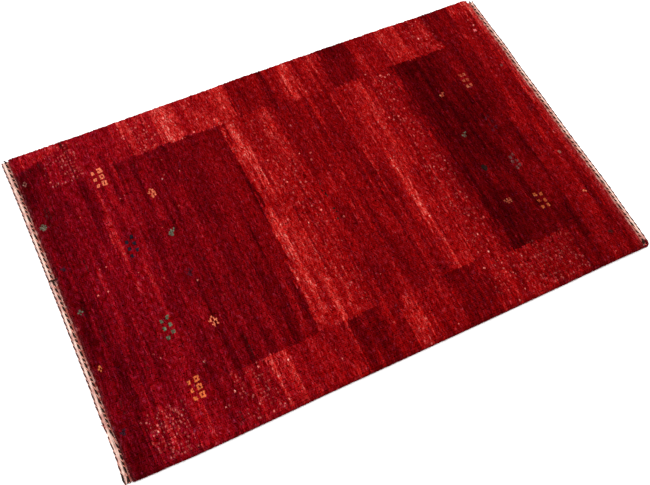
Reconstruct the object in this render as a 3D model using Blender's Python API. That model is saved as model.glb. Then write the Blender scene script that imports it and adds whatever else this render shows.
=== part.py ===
"""Gabbeh rug: a hand-knotted wool pile with flat-woven headings, twined cords and overcast long sides.

Metres, +Z up. +X runs along the length from the left heading to the right one, +Y across the width
from the near side to the far side, and the origin is on the floor under the middle of the rug.
"""

import math
from collections import namedtuple

import bmesh
import bpy
from mathutils import Vector

# The whole rug, over its headings and over its overcast sides
LENGTH = 0.9326
WIDTH = 0.5978
PILE_TOP = 0.012
GAP = 0.0003

# Headings, as woven past the knots. The right one is the longer of the two.
HEADING_LEFT = 0.0126
HEADING_RIGHT = 0.0155
HEADING_THICK = 0.0024

# Twined cords: one closes the heading, one lies in a channel along its middle
CORD_WIDE = 0.0025
CORD_HIGH = 0.0031
LINE_INSET = 0.0062
LINE_WIDE = 0.0028
LINE_HIGH = 0.0032
CHANNEL_FLOOR = 0.0008

# Overcast edge of the long sides, and the pile that rolls over it
SELVEDGE_WIDE = 0.0052
SELVEDGE_HIGH = 0.0048
SIDE_LIP = 0.0004
SIDE_ROLL = 0.0050
END_LEAN = 0.0008
END_ROLL = 0.0038
PILE_FOOT = 0.0056

# How far each edge bows outwards, at a share of the way along it: the sides run left to right and
# the ends run near to far
Bow = namedtuple("Bow", "share outwards")
NEAR_SIDE = (
    Bow(0.00, -0.0030),
    Bow(0.06, -0.0014),
    Bow(0.12, 0.0002),
    Bow(0.17, 0.0005),
    Bow(0.26, 0.0001),
    Bow(0.34, -0.0005),
    Bow(0.50, 0.0001),
    Bow(0.62, 0.0004),
    Bow(0.80, 0.0003),
    Bow(0.90, -0.0002),
    Bow(1.00, 0.0006),
)
FAR_SIDE = (
    Bow(0.00, 0.0000),
    Bow(0.15, -0.0009),
    Bow(0.28, 0.0002),
    Bow(0.40, 0.0008),
    Bow(0.47, 0.0023),
    Bow(0.56, 0.0016),
    Bow(0.65, 0.0018),
    Bow(0.78, 0.0010),
    Bow(0.86, -0.0006),
    Bow(1.00, -0.0005),
)
LEFT_END = (
    Bow(0.00, 0.0016),
    Bow(0.12, 0.0014),
    Bow(0.21, 0.0008),
    Bow(0.26, -0.0004),
    Bow(0.42, -0.0008),
    Bow(0.60, -0.0005),
    Bow(0.80, 0.0001),
    Bow(0.90, 0.0008),
    Bow(1.00, 0.0022),
)
RIGHT_END = (
    Bow(0.00, -0.0012),
    Bow(0.10, -0.0003),
    Bow(0.22, 0.0012),
    Bow(0.31, 0.0006),
    Bow(0.42, -0.0005),
    Bow(0.57, 0.0000),
    Bow(0.70, -0.0006),
    Bow(0.79, 0.0004),
    Bow(0.90, -0.0010),
    Bow(1.00, -0.0016),
)

# How far short of the two long sides the headings and their cords stop
Short = namedtuple("Short", "of_near of_far")
HEADING_ENDS = {
    "heading_left": Short(0.0030, 0.0015),
    "edge_cord_left": Short(0.0008, 0.0006),
    "twined_line_left": Short(0.0016, 0.0002),
    "heading_right": Short(0.0062, 0.0070),
    "edge_cord_right": Short(0.0064, 0.0052),
    "twined_line_right": Short(0.0066, 0.0040),
}

# Rounding of the pile's corners, seen from above, which lessens as the outline draws in
CORNERS = {"near_left": 0.004, "near_right": 0.006, "far_right": 0.011, "far_left": 0.005}
CORNER_LESSENS = 0.5
LEAST_CORNER = 0.0015
Corner = namedtuple("Corner", "name x y way_x way_y first_turn")

# Shares of a cord's section: its flat underside, the height of its widest place, and its tips
CORD_FOOT = 0.70
CORD_WAIST = 0.45
TIP_SCALE = 0.55

# Fineness of the meshes
LONG_STEPS = 26
SHORT_STEPS = 18
CORNER_STEPS = 5
ROLL_STEPS = 6
CORD_STEPS = 6
TIP = 0.0012
SHARP_ANGLE = math.radians(35)

COLOURS = {
    "pile_wool": (0.290, 0.006, 0.012, 1.0),
    "heading_wool": (0.700, 0.500, 0.420, 1.0),
    "twined_wool": (0.060, 0.026, 0.022, 1.0),
    "selvedge_wool": (0.110, 0.004, 0.010, 1.0),
}
WOOL_ROUGHNESS = 0.92


def clear_scene():
    """Empties the scene that Blender starts with."""
    for obj in list(bpy.data.objects):
        bpy.data.objects.remove(obj, do_unlink=True)


def wool(name):
    """A matt wool of one colour."""
    material = bpy.data.materials.new(name)
    material.use_nodes = True
    shader = material.node_tree.nodes["Principled BSDF"]
    shader.inputs["Base Color"].default_value = COLOURS[name]
    shader.inputs["Roughness"].default_value = WOOL_ROUGHNESS
    shader.inputs["Metallic"].default_value = 0.0
    return material


def stray(table, share):
    """How far an edge bows outwards at a share of its length, eased from row to row."""
    share = min(max(share, 0.0), 1.0)
    for low, high in zip(table, table[1:]):
        if share <= high.share:
            way = (share - low.share) / (high.share - low.share)
            return low.outwards + (high.outwards - low.outwards) * way * way * (3 - 2 * way)
    return table[-1].outwards


def lie(x, y, z):
    """Takes a point of the straight rug to where the uneven rug has it."""
    along = x / LENGTH + 0.5
    across = y / WIDTH + 0.5
    left = -stray(LEFT_END, across)
    right = stray(RIGHT_END, across)
    near = -stray(NEAR_SIDE, along)
    far = stray(FAR_SIDE, along)
    return Vector((x + left + (right - left) * along, y + near + (far - near) * across, z))


def loft(name, rings, material, parent):
    """Joins rings of equal length into one closed piece with a face at each end."""
    bm = bmesh.new()
    loops = [[bm.verts.new(point) for point in ring] for ring in rings]
    for lower, upper in zip(loops, loops[1:]):
        for index, corner in enumerate(lower):
            after = (index + 1) % len(lower)
            bm.faces.new((corner, lower[after], upper[after], upper[index]))
    bm.faces.new(reversed(loops[0]))
    bm.faces.new(loops[-1])
    bmesh.ops.recalc_face_normals(bm, faces=bm.faces)
    mesh = bpy.data.meshes.new(name)
    bm.to_mesh(mesh)
    bm.free()
    mesh.materials.append(material)
    mesh.shade_smooth()
    mesh.set_sharp_from_angle(angle=SHARP_ANGLE)
    obj = bpy.data.objects.new(name, mesh)
    bpy.context.scene.collection.objects.link(obj)
    obj.parent = parent
    return obj


def cord_section(low, high, floor, top):
    """Section of a cord with a flat underside, from low to high across and from floor to top."""
    middle, half = (low + high) / 2, (high - low) / 2
    waist = floor + (top - floor) * CORD_WAIST
    points = [(middle - half * CORD_FOOT, floor), (middle + half * CORD_FOOT, floor)]
    for step in range(CORD_STEPS + 1):
        turn = math.pi * step / CORD_STEPS
        points.append((middle + half * math.cos(turn), waist + (top - waist) * math.sin(turn)))
    return points


def heading_section(outer, inner, line_low, line_high):
    """Section of a heading: a flat band with a channel that the twined line lies in."""
    return [
        (outer, 0.0),
        (inner, 0.0),
        (inner, HEADING_THICK),
        (line_high, HEADING_THICK),
        (line_high, CHANNEL_FLOOR),
        (line_low, CHANNEL_FLOOR),
        (line_low, HEADING_THICK),
        (outer, HEADING_THICK),
    ]


def shrunk(section, scale):
    """The same section drawn in towards its middle, for the tip of a cord."""
    middle = sum(a for a, _ in section) / len(section)
    height = sum(b for _, b in section) / len(section)
    return [(middle + (a - middle) * scale, height + (b - height) * scale) for a, b in section]


def bar(name, section, start, end, along_x, tipped, material, parent):
    """A strip of one section that runs along X or along Y, following the uneven edges."""
    steps = LONG_STEPS if along_x else SHORT_STEPS
    stations = [(start + (end - start) * step / steps, 1.0) for step in range(steps + 1)]
    if tipped:
        stations[0] = (start + TIP, 1.0)
        stations[-1] = (end - TIP, 1.0)
        stations = [(start, TIP_SCALE)] + stations + [(end, TIP_SCALE)]
    rings = []
    for place, scale in stations:
        outline = shrunk(section, scale)
        rings.append([lie(place, a, b) if along_x else lie(a, place, b) for a, b in outline])
    return loft(name, rings, material, parent)


def pile_ring(end_inset, side_inset, z):
    """One level of the pile's outline, counter-clockwise from the near left corner."""
    left = -LENGTH / 2 + HEADING_LEFT + end_inset
    right = LENGTH / 2 - HEADING_RIGHT - end_inset
    near = -WIDTH / 2 + side_inset
    far = WIDTH / 2 - side_inset
    corners = (
        Corner("near_left", left, near, 1, 1, 180),
        Corner("near_right", right, near, -1, 1, 270),
        Corner("far_right", right, far, -1, -1, 0),
        Corner("far_left", left, far, 1, -1, 90),
    )
    arcs = []
    for corner in corners:
        radius = max(CORNERS[corner.name] - side_inset * CORNER_LESSENS, LEAST_CORNER)
        centre_x = corner.x + corner.way_x * radius
        centre_y = corner.y + corner.way_y * radius
        arc = []
        for step in range(CORNER_STEPS + 1):
            turn = math.radians(corner.first_turn + 90 * step / CORNER_STEPS)
            arc.append((centre_x + radius * math.cos(turn), centre_y + radius * math.sin(turn)))
        arcs.append(arc)
    ring = []
    for index, arc in enumerate(arcs):
        ring += arc
        x0, y0 = arc[-1]
        x1, y1 = arcs[(index + 1) % 4][0]
        steps = SHORT_STEPS if index % 2 else LONG_STEPS
        ring += [(x0 + (x1 - x0) * s / steps, y0 + (y1 - y0) * s / steps) for s in range(1, steps)]
    return [lie(x, y, z) for x, y in ring]


def make_pile(parent):
    """Foundation and standing pile in one: square below, rolled over the overcast sides above."""
    tucked = SELVEDGE_WIDE + GAP
    over_heading = LINE_HIGH + GAP
    over_selvedge = SELVEDGE_HIGH + GAP
    rings = [
        pile_ring(GAP, tucked, 0.0),
        pile_ring(GAP, tucked, over_heading),
        pile_ring(-END_LEAN, tucked, over_heading + GAP),
        pile_ring(-END_LEAN, tucked, over_selvedge),
    ]
    for step in range(ROLL_STEPS + 1):
        turn = math.pi / 2 * step / ROLL_STEPS
        rolled = 1 - math.cos(turn)
        z = PILE_FOOT + (PILE_TOP - PILE_FOOT) * math.sin(turn)
        rings.append(pile_ring(-END_LEAN + END_ROLL * rolled, SIDE_LIP + SIDE_ROLL * rolled, z))
    return loft("pile_field", rings, wool("pile_wool"), parent)


def make_heading(side, parent, cream, brown):
    """One flat-woven end with its closing cord and the twined line that lies in it."""
    way = 1 if side == "left" else -1
    edge = -way * LENGTH / 2
    reach = HEADING_LEFT if side == "left" else HEADING_RIGHT
    line_low = edge + way * (LINE_INSET - GAP)
    line_high = edge + way * (LINE_INSET + LINE_WIDE + GAP)
    sections = {
        "edge_cord": cord_section(*sorted((edge, edge + way * CORD_WIDE)), 0.0, CORD_HIGH),
        "heading": heading_section(
            edge + way * (CORD_WIDE + GAP), edge + way * reach, line_low, line_high
        ),
        "twined_line": cord_section(
            *sorted((line_low + way * GAP, line_high - way * GAP)), CHANNEL_FLOOR + GAP, LINE_HIGH
        ),
    }
    for piece, section in sections.items():
        name = f"{piece}_{side}"
        start = -WIDTH / 2 + HEADING_ENDS[name].of_near
        end = WIDTH / 2 - HEADING_ENDS[name].of_far
        material = cream if piece == "heading" else brown
        bar(name, section, start, end, False, piece != "heading", material, parent)


def make_selvedge(side, parent, red):
    """The overcast cord of one long side. The near one runs on past the right heading."""
    way = 1 if side == "far" else -1
    edge = way * WIDTH / 2
    section = cord_section(*sorted((edge, edge - way * SELVEDGE_WIDE)), 0.0, SELVEDGE_HIGH)
    start = -LENGTH / 2 + HEADING_LEFT + 2 * GAP
    past_heading = LENGTH / 2 - CORD_WIDE
    end = past_heading if side == "near" else LENGTH / 2 - HEADING_RIGHT - 2 * GAP
    bar(f"selvedge_{side}", section, start, end, True, True, red, parent)


def centre_on_floor(parent):
    """Moves the rug so that the middle of its box stands over the origin."""
    bpy.context.view_layer.update()
    corners = [obj.matrix_world @ Vector(c) for obj in parent.children for c in obj.bound_box]
    for axis in range(2):
        low = min(corner[axis] for corner in corners)
        high = max(corner[axis] for corner in corners)
        parent.location[axis] -= (low + high) / 2


def main():
    clear_scene()
    rug = bpy.data.objects.new("gabbeh_rug", None)
    bpy.context.scene.collection.objects.link(rug)
    make_pile(rug)
    cream = wool("heading_wool")
    brown = wool("twined_wool")
    for side in ("left", "right"):
        make_heading(side, rug, cream, brown)
    red = wool("selvedge_wool")
    for side in ("near", "far"):
        make_selvedge(side, rug, red)
    centre_on_floor(rug)


main()
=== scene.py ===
import math
from collections import namedtuple

import bpy
import numpy as np
from bpy.props import FloatProperty, FloatVectorProperty, IntProperty, PointerProperty
from mathutils import Matrix, Vector


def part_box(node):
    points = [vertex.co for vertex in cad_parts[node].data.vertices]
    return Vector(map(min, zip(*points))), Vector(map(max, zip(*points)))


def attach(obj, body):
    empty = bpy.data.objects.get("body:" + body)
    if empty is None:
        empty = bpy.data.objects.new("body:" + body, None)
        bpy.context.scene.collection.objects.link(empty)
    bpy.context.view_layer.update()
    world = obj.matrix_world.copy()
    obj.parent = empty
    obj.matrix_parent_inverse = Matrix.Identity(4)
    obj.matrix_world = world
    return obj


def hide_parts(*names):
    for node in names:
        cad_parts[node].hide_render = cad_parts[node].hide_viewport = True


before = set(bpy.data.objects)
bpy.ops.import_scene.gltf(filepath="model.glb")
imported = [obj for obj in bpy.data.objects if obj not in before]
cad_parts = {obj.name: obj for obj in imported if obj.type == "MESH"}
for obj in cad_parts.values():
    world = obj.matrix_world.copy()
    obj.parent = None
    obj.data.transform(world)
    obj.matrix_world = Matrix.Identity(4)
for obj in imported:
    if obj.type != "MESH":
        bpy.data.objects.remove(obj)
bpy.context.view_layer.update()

bl_info = {
    "name": "Gabbeh Rug",
    "version": (1, 0, 0),
    "blender": (4, 5, 0),
    "location": "View3D > Sidebar > Gabbeh Rug",
    "description": "Knots, weaves and overcasts a small red gabbeh rug on its packed frame",
    "category": "Object",
}

BODY = "root"

# The straight rug that the frame was made from, in metres. Its uneven edges are in the tables below.
LENGTH = 0.9326
WIDTH = 0.5978
HEADING_LEFT = 0.0126
HEADING_RIGHT = 0.0155
HEADING_THICK = 0.0024
CORD_WIDE = 0.0025
LINE_WIDE = 0.0028
CHANNEL_FLOOR = 0.0008
SELVEDGE_WIDE = 0.0052
SELVEDGE_HIGH = 0.0048
GAP = 0.0003

Bow = namedtuple("Bow", "share outwards")
NEAR_SIDE = (
    Bow(0.00, -0.0030), Bow(0.06, -0.0014), Bow(0.12, 0.0002), Bow(0.17, 0.0005),
    Bow(0.26, 0.0001), Bow(0.34, -0.0005), Bow(0.50, 0.0001), Bow(0.62, 0.0004),
    Bow(0.80, 0.0003), Bow(0.90, -0.0002), Bow(1.00, 0.0006),
)
FAR_SIDE = (
    Bow(0.00, 0.0000), Bow(0.15, -0.0009), Bow(0.28, 0.0002), Bow(0.40, 0.0008),
    Bow(0.47, 0.0023), Bow(0.56, 0.0016), Bow(0.65, 0.0018), Bow(0.78, 0.0010),
    Bow(0.86, -0.0006), Bow(1.00, -0.0005),
)
LEFT_END = (
    Bow(0.00, 0.0016), Bow(0.12, 0.0014), Bow(0.21, 0.0008), Bow(0.26, -0.0004),
    Bow(0.42, -0.0008), Bow(0.60, -0.0005), Bow(0.80, 0.0001), Bow(0.90, 0.0008),
    Bow(1.00, 0.0022),
)
RIGHT_END = (
    Bow(0.00, -0.0012), Bow(0.10, -0.0003), Bow(0.22, 0.0012), Bow(0.31, 0.0006),
    Bow(0.42, -0.0005), Bow(0.57, 0.0000), Bow(0.70, -0.0006), Bow(0.79, 0.0004),
    Bow(0.90, -0.0010), Bow(1.00, -0.0016),
)
Short = namedtuple("Short", "of_near of_far")
HEADING_ENDS = {
    "heading_left": Short(0.0030, 0.0015),
    "edge_cord_left": Short(0.0008, 0.0006),
    "twined_line_left": Short(0.0016, 0.0002),
    "heading_right": Short(0.0062, 0.0070),
    "edge_cord_right": Short(0.0064, 0.0052),
    "twined_line_right": Short(0.0066, 0.0040),
}
CORNERS = {"near_left": 0.004, "near_right": 0.006, "far_right": 0.011, "far_left": 0.005}

# Tufts near an edge: how far inside the pile's edge the tip stands, how far inside the root is
# tied, and how high the tip reaches. Past the last row the tufts stand upright.
Fan = namedtuple("Fan", "tip root height")
SIDE_FAN = (
    Fan(0.0018, 0.0063, 0.0066),
    Fan(0.0029, 0.0068, 0.0092),
    Fan(0.0049, 0.0078, 0.0109),
    Fan(0.0082, 0.0098, 0.0115),
    Fan(0.0115, 0.0124, 0.0117),
    Fan(0.0148, 0.0153, 0.0117),
)
END_FAN = (
    Fan(0.0010, 0.0020, 0.0080),
    Fan(0.0023, 0.0029, 0.0106),
    Fan(0.0047, 0.0050, 0.0115),
    Fan(0.0072, 0.0073, 0.0117),
)
TIP_HEIGHT = 0.0117
ROOT_HEIGHT = 0.0024
FOUNDATION_TOP = 0.0026
PILE_SECTIONS = 4
TUFT_SIDES = 5
TUFT_WAIST = 0.92

# Where the tables below count their millimetres from, at the near left corner of the field's plan
PLAN_LEFT = -0.465
PLAN_NEAR = -0.297
PLAN_FAR = 594

# The bands of the field's three lanes, in millimetres along it. near and far are where a band ends
# at the two borders of its lane. tone runs from 0, the deepest maroon, to 100, the brightest
# orange-red. flecks is the share of pale knots.
Band = namedtuple("Band", "near far tone flecks")
FAR_LANE = (
    Band(60, 60, 29, 0.00), Band(118, 118, 54, 0.01), Band(200, 198, 59, 0.01),
    Band(244, 246, 78, 0.05), Band(300, 302, 91, 0.02), Band(402, 406, 81, 0.02),
    Band(475, 478, 42, 0.00), Band(500, 497, 59, 0.01), Band(518, 520, 84, 0.01),
    Band(586, 584, 66, 0.01), Band(645, 646, 25, 0.00), Band(712, 706, 59, 0.01),
    Band(768, 772, 78, 0.02), Band(815, 812, 67, 0.08), Band(862, 864, 31, 0.00),
    Band(930, 930, 52, 0.01),
)
MIDDLE_LANE = (
    Band(62, 58, 24, 0.00), Band(118, 118, 40, 0.01), Band(165, 168, 53, 0.01),
    Band(262, 270, 34, 0.01), Band(349, 366, 35, 0.00), Band(410, 404, 82, 0.01),
    Band(452, 458, 69, 0.03), Band(500, 500, 48, 0.01), Band(518, 520, 54, 0.01),
    Band(562, 574, 43, 0.00), Band(598, 602, 57, 0.01), Band(642, 638, 74, 0.01),
    Band(690, 694, 56, 0.04), Band(706, 702, 32, 0.01), Band(744, 744, 3, 0.00),
    Band(797, 798, 9, 0.00), Band(845, 845, 23, 0.00), Band(930, 930, 44, 0.00),
)
NEAR_LANE = (
    Band(54, 54, 17, 0.00), Band(118, 118, 50, 0.10), Band(172, 170, 60, 0.01),
    Band(215, 216, 42, 0.01), Band(256, 258, 57, 0.03), Band(292, 290, 80, 0.02),
    Band(394, 392, 60, 0.01), Band(452, 450, 26, 0.00), Band(486, 486, 47, 0.01),
    Band(514, 512, 79, 0.01), Band(572, 574, 55, 0.01), Band(636, 632, 30, 0.00),
    Band(700, 698, 56, 0.07), Band(742, 742, 60, 0.02), Band(808, 810, 44, 0.05),
    Band(850, 850, 26, 0.00), Band(930, 930, 36, 0.01),
)
# Where the borders between the lanes run: up to this far along, at this far across
Border = namedtuple("Border", "until across")
FAR_BORDER = (
    Border(366, 513), Border(500, 514), Border(586, 506), Border(650, 503), Border(930, 505),
)
NEAR_BORDER = (
    Border(350, 89), Border(572, 91), Border(640, 95), Border(700, 94), Border(930, 85),
)
# The reds from dark to light, and the tone at which each one stands alone
RED_YARNS = ("oxblood", "maroon", "garnet", "crimson", "scarlet", "poppy", "coral")
RED_STEPS = (-25.0, 0.0, 25.0, 50.0, 75.0, 100.0, 130.0)
# Areas that lie lighter or darker than their band, with soft edges
Patch = namedtuple("Patch", "left right near far change flecks", defaults=(0.0,))
PATCHES = (
    Patch(12, 34, 470, 545, -10), Patch(14, 60, 528, 556, -8), Patch(862, 918, 560, 594, 24, 0.02),
    Patch(900, 930, 10, 600, 32), Patch(24, 62, 544, 566, -12), Patch(44, 56, 212, 290, -17),
    Patch(12, 32, 218, 256, -13), Patch(30, 56, 446, 466, -14), Patch(58, 62, 332, 362, -18),
    Patch(90, 95, 152, 200, -14), Patch(150, 165, 222, 250, -13), Patch(168, 176, 480, 512, -16),
    Patch(188, 201, 448, 508, -12), Patch(237, 243, 96, 146, -14), Patch(289, 301, 312, 476, -7),
    Patch(318, 332, 276, 300, -12), Patch(212, 219, 462, 505, 24), Patch(122, 127, 440, 476, 16),
    Patch(122, 127, 268, 356, 16), Patch(150, 158, 60, 130, -9), Patch(370, 386, 430, 508, 14),
    Patch(394, 400, 300, 470, 18), Patch(376, 384, 150, 300, 16), Patch(388, 394, 92, 240, 20),
    Patch(436, 446, 100, 330, -9), Patch(566, 574, 240, 500, 26), Patch(574, 586, 96, 330, -8),
    Patch(604, 612, 96, 330, 20), Patch(618, 634, 300, 500, 8), Patch(622, 628, 110, 230, 16),
    Patch(508, 516, 515, 590, 22), Patch(265, 290, 516, 592, 8), Patch(262, 268, 6, 88, 18),
    Patch(486, 496, 6, 80, 14),
)
# Blocks with a pale knot on every other knot of every other row, and how many of those are pale
Speckle = namedtuple("Speckle", "left right near far share strength")
SPECKLES = (
    Speckle(57, 117, 6, 80, 0.60, 0.25),
    Speckle(57, 117, 75, 80, 0.45, 0.25),
    Speckle(57, 90, 512, 580, 0.25, 0.20),
    Speckle(88, 117, 512, 586, 0.70, 0.27),
    Speckle(57, 117, 509, 516, 0.60, 0.25),
    Speckle(700, 808, 6, 86, 0.45, 0.17),
    Speckle(640, 700, 20, 88, 0.25, 0.20),
    Speckle(405, 455, 100, 500, 0.20, 0.16),
    Speckle(645, 692, 100, 500, 0.25, 0.18),
    Speckle(198, 245, 515, 585, 0.30, 0.22),
    Speckle(770, 815, 510, 590, 0.35, 0.20),
    Speckle(196, 255, 5, 88, 0.35, 0.20),
)
# The light corner at the far left, above a slanting edge
CORNER_PATCH_LOW = 553
CORNER_PATCH_SLOPE = 0.27
CORNER_PATCH_REACH = 98
CORNER_PATCH_STARTS = (40, 62)
CORNER_PATCH_TONES = (62, 78)
CORNER_PATCH_EDGE = 6
# How the tone drifts in runs of knots: by how much, how many knots a run has, over how many rows
Drift = namedtuple("Drift", "amount shortest longest widest")
DRIFTS = (Drift(6.5, 5, 34, 4), Drift(5.0, 6, 40, 1), Drift(6.5, 14, 60, 3), Drift(4.0, 1, 6, 1))
CLOUD_DRIFT = 7.0
KNOT_DRIFT = 2.0
BANDS_A_LANE = 20
LANES = 3
# How far the edges of bands stray along and across, in millimetres
EDGE_STRAY = 4.2
ROW_STRAY = 1.2
# Where the bluer reds of the left end start to fade and where they are gone, and how blue they are
BLUER_UNTIL = (100, 400)
BLUER_BY = (0.0016, 0.0)
# Where the pale fuzz of the first and last rows ends and how pale it is
FUZZ_LEFT = 18
FUZZ_RIGHT = 904
FUZZ = 0.0045
# Share of the knots between the regular pale ones of a speckled block that are pale too
LOOSE_SPECKLE = 0.12

# Small knotted motifs, charted with the far side at the top and one mark to a knot
CHARTS = {
    "square": ("###", "#.#", "###"),
    "block": ("##", "##"),
    "dot": ("##", "##"),
    "speck": ("#.", ".#"),
    "wide_dot": ("###", ".##"),
    "hexagon": (".##.", "####", "####", ".##."),
    "hooks": ("#.#.#", ".####", "..#.#"),
    "ring": (".#.", "#.#", ".#."),
    "bow": ("..##", "###.", ".##."),
    "sprig": (
        "..#..",
        ".#.#.",
        "##.##",
        "..#.#",
        ".##.#",
        "..#..",
    ),
    "bird": (
        "...#.#",
        "..###.",
        ".###..",
        "..##..",
    ),
}
Motif = namedtuple("Motif", "x y chart yarn strength")
MOTIFS = (
    Motif(22, 533, "ring", "fawn", 0.5),
    Motif(22, 441, "hexagon", "sage", 0.65),
    Motif(26, 357, "wide_dot", "navy", 0.75),
    Motif(26, 275, "ring", "sage", 0.8),
    Motif(16, 251, "dot", "rose", 0.25),
    Motif(23, 177, "ring", "mustard", 1.0),
    Motif(22, 69, "bow", "navy", 0.75),
    Motif(205, 432, "sprig", "gold", 0.8),
    Motif(206, 351, "bird", "sage", 0.85),
    Motif(206, 269, "bird", "navy", 0.55),
    Motif(207, 178, "sprig", "gold", 0.9),
    Motif(234, 285, "dot", "navy", 0.35),
    Motif(757, 411, "bow", "gold", 0.4),
    Motif(749, 318, "bow", "sage", 0.45),
    Motif(746, 243, "hexagon", "pine", 0.95),
    Motif(746, 170, "hooks", "gold", 0.3),
    Motif(891, 519, "dot", "rose", 0.8),
    Motif(878, 502, "speck", "rose", 0.35),
    Motif(893, 425, "dot", "slate", 0.5),
    Motif(888, 320, "hexagon", "navy", 0.2),
    Motif(885, 219, "dot", "fawn", 0.7),
    Motif(881, 131, "speck", "gold", 0.8),
    Motif(876, 46, "wide_dot", "pine", 0.7),
)
# Blocks of two columns by three squares: the middle of the block, how far apart the squares are,
# how far the right column stands above the left one, and the two charts
Group = namedtuple("Group", "x y pitch_x pitch_y skew left_chart right_chart yarn strength")
GROUPS = (
    Group(134.5, 497, 11, 13.2, 2.0, "block", "square", "gold", 1.0),
    Group(138.5, 353, 10, 13.0, 5.5, "block", "block", "navy", 1.0),
    Group(138.5, 198, 11, 13.5, 3.5, "block", "block", "green", 0.7),
    Group(142.5, 90, 11, 13.2, 2.5, "block", "square", "amber", 1.0),
    Group(812, 423, 8.5, 13.0, 0.0, "block", "block", "gold", 0.35),
    Group(806, 322, 8, 12.5, 3.0, "block", "block", "navy", 0.25),
    Group(803, 234, 7, 12.0, 2.0, "block", "block", "slate", 0.45),
    Group(801, 147, 8.5, 12.9, -1.0, "block", "block", "amber", 0.5),
)
# Dark hairs that show in the field: where a short row of knots starts, how long it runs along
# the knot row, and how strongly it shows
Mark = namedtuple("Mark", "x y long strength")
MARKS = (
    Mark(467, 256, 6, 1.0), Mark(468, 270, 10, 1.0), Mark(466, 287, 7, 1.0),
    Mark(469, 300, 12, 1.0), Mark(467, 318, 8, 1.0), Mark(468, 331, 6, 0.9),
    Mark(108, 572, 14, 0.6), Mark(104, 563, 8, 0.5), Mark(111, 590, 5, 0.6),
    Mark(34, 440, 34, 0.5), Mark(41, 450, 26, 0.5), Mark(47, 462, 18, 0.4),
    Mark(60, 335, 26, 0.5), Mark(57, 352, 16, 0.4), Mark(33, 262, 22, 0.55),
    Mark(45, 212, 30, 0.5), Mark(36, 96, 26, 0.5), Mark(33, 118, 14, 0.4),
    Mark(169, 500, 22, 0.45), Mark(196, 488, 22, 0.4), Mark(88, 145, 24, 0.45),
    Mark(120, 182, 24, 0.4), Mark(187, 14, 26, 0.5), Mark(170, 105, 40, 0.35),
    Mark(240, 92, 44, 0.35), Mark(182, 8, 10, 0.5), Mark(14, 540, 20, 0.5),
    Mark(30, 546, 12, 0.5), Mark(52, 556, 10, 0.5), Mark(97, 574, 16, 0.7),
    Mark(102, 580, 10, 0.6), Mark(38, 552, 8, 0.5), Mark(47, 480, 20, 0.4),
)

# Camera at the photograph's angle: where it stands and which way it looks
CAMERA_PLACE = (-0.3903, -0.6134, 1.2509)
CAMERA_RIGHT = (0.89432, -0.44346, 0.05953)
CAMERA_UP = (0.36984, 0.80753, 0.45946)
CAMERA_BACK = (-0.25182, -0.38889, 0.88620)
CAMERA_LENS = 47.2115
CAMERA_SENSOR = 36.0
Lamp = namedtuple("Lamp", "name place size power")
LAMPS = (
    Lamp("top_softbox", (0.3, 0.9, 2.6), 2.4, 68.0),
    Lamp("front_softbox", (-1.6, -1.2, 2.0), 1.8, 21.0),
)
FLOOR_SPAN = 6.0
FLOOR_HEIGHT = -0.0002
WORLD_STRENGTH = 1.05

# Where the heading's weave starts and where the middle of its twined line lies, in from each end
OUTER_INSETS = {"left": 0.0024, "right": 0.0018}
LINE_INSETS = {"left": 0.0074, "right": 0.0063}

# How the two strands of a twined cord lie: the cord's middle and its height, half the way between
# the two strands across and upwards, and the strands' own radii
Lay = namedtuple("Lay", "inset height wide high dark light")
CORD_LAYS = {
    "left_edge_cord": Lay(0.0009, 0.0018, 0.00032, 0.00045, 0.00108, 0.00064),
    "left_twined_line": Lay(LINE_INSETS["left"], 0.0022, 0.00034, 0.00045, 0.00140, 0.00080),
    "right_edge_cord": Lay(0.0008, 0.0018, 0.00036, 0.00045, 0.00108, 0.00062),
    "right_twined_line": Lay(LINE_INSETS["right"], 0.0022, 0.00040, 0.00045, 0.00121, 0.00080),
}
# How far a cord strays inwards from its line, at places in from the near side
Wander = namedtuple("Wander", "across inwards")
STRAIGHT = (Wander(0.0, 0.0),)
CORD_WANDERS = {
    "left_edge_cord": (
        Wander(0.012, 0.0000), Wander(0.027, 0.0005), Wander(0.043, 0.0014), Wander(0.064, 0.0018),
        Wander(0.077, 0.0011), Wander(0.084, 0.0014), Wander(0.100, 0.0007), Wander(0.150, 0.0000),
    ),
    "left_twined_line": (
        Wander(0.012, 0.0002), Wander(0.024, 0.0006), Wander(0.034, 0.0012), Wander(0.052, 0.0028),
        Wander(0.068, 0.0020), Wander(0.083, 0.0009), Wander(0.115, 0.0010), Wander(0.200, 0.0000),
        Wander(0.305, -0.0005), Wander(0.395, -0.0005), Wander(0.450, 0.0002),
        Wander(0.495, 0.0010), Wander(0.545, 0.0014), Wander(0.594, 0.0002),
    ),
    "right_twined_line": (Wander(0.008, 0.0014), Wander(0.024, 0.0009), Wander(0.064, 0.0000)),
}
# Where the cord of the left end is worn through, in from the near side
WORN_THROUGH = (0.0790, 0.0828)
CORD_POINTS = 240
CORD_UNEVENNESS = 1.6
CORD_SEED_STEP = 17
CORD_KNOT_SEED = 3
# Length of a step along a twined strand, as a share of one turn
TWINE_STEP = 0.0833
TWINE_SIDES = 5
TWINE_WANDER_SCALE = 0.35
# How far the overcasting stops short of the headings, and how its wraps lie
SELVEDGE_SHORT = 0.0014
SELVEDGE_POINTS = 90
WRAP_STEPS = 10
WRAP_SIDES = 4
WRAP_THICK = 0.0006
WRAP_BROAD = 0.0011
WRAP_SIZES = (0.93, 1.03)
WRAP_SLANT = 0.3
WRAP_SLANT_STRAY = 0.1
WRAP_CORE = 0.0018
CORE_SIDES = 8
# How much a heading's edges are eased and how far its warps lift it
HEADING_EASE = 0.0002
HEADING_EDGE_EASE = 0.0003
WARP_LIFT = 0.00018
STEPS_A_WARP = 3
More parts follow.
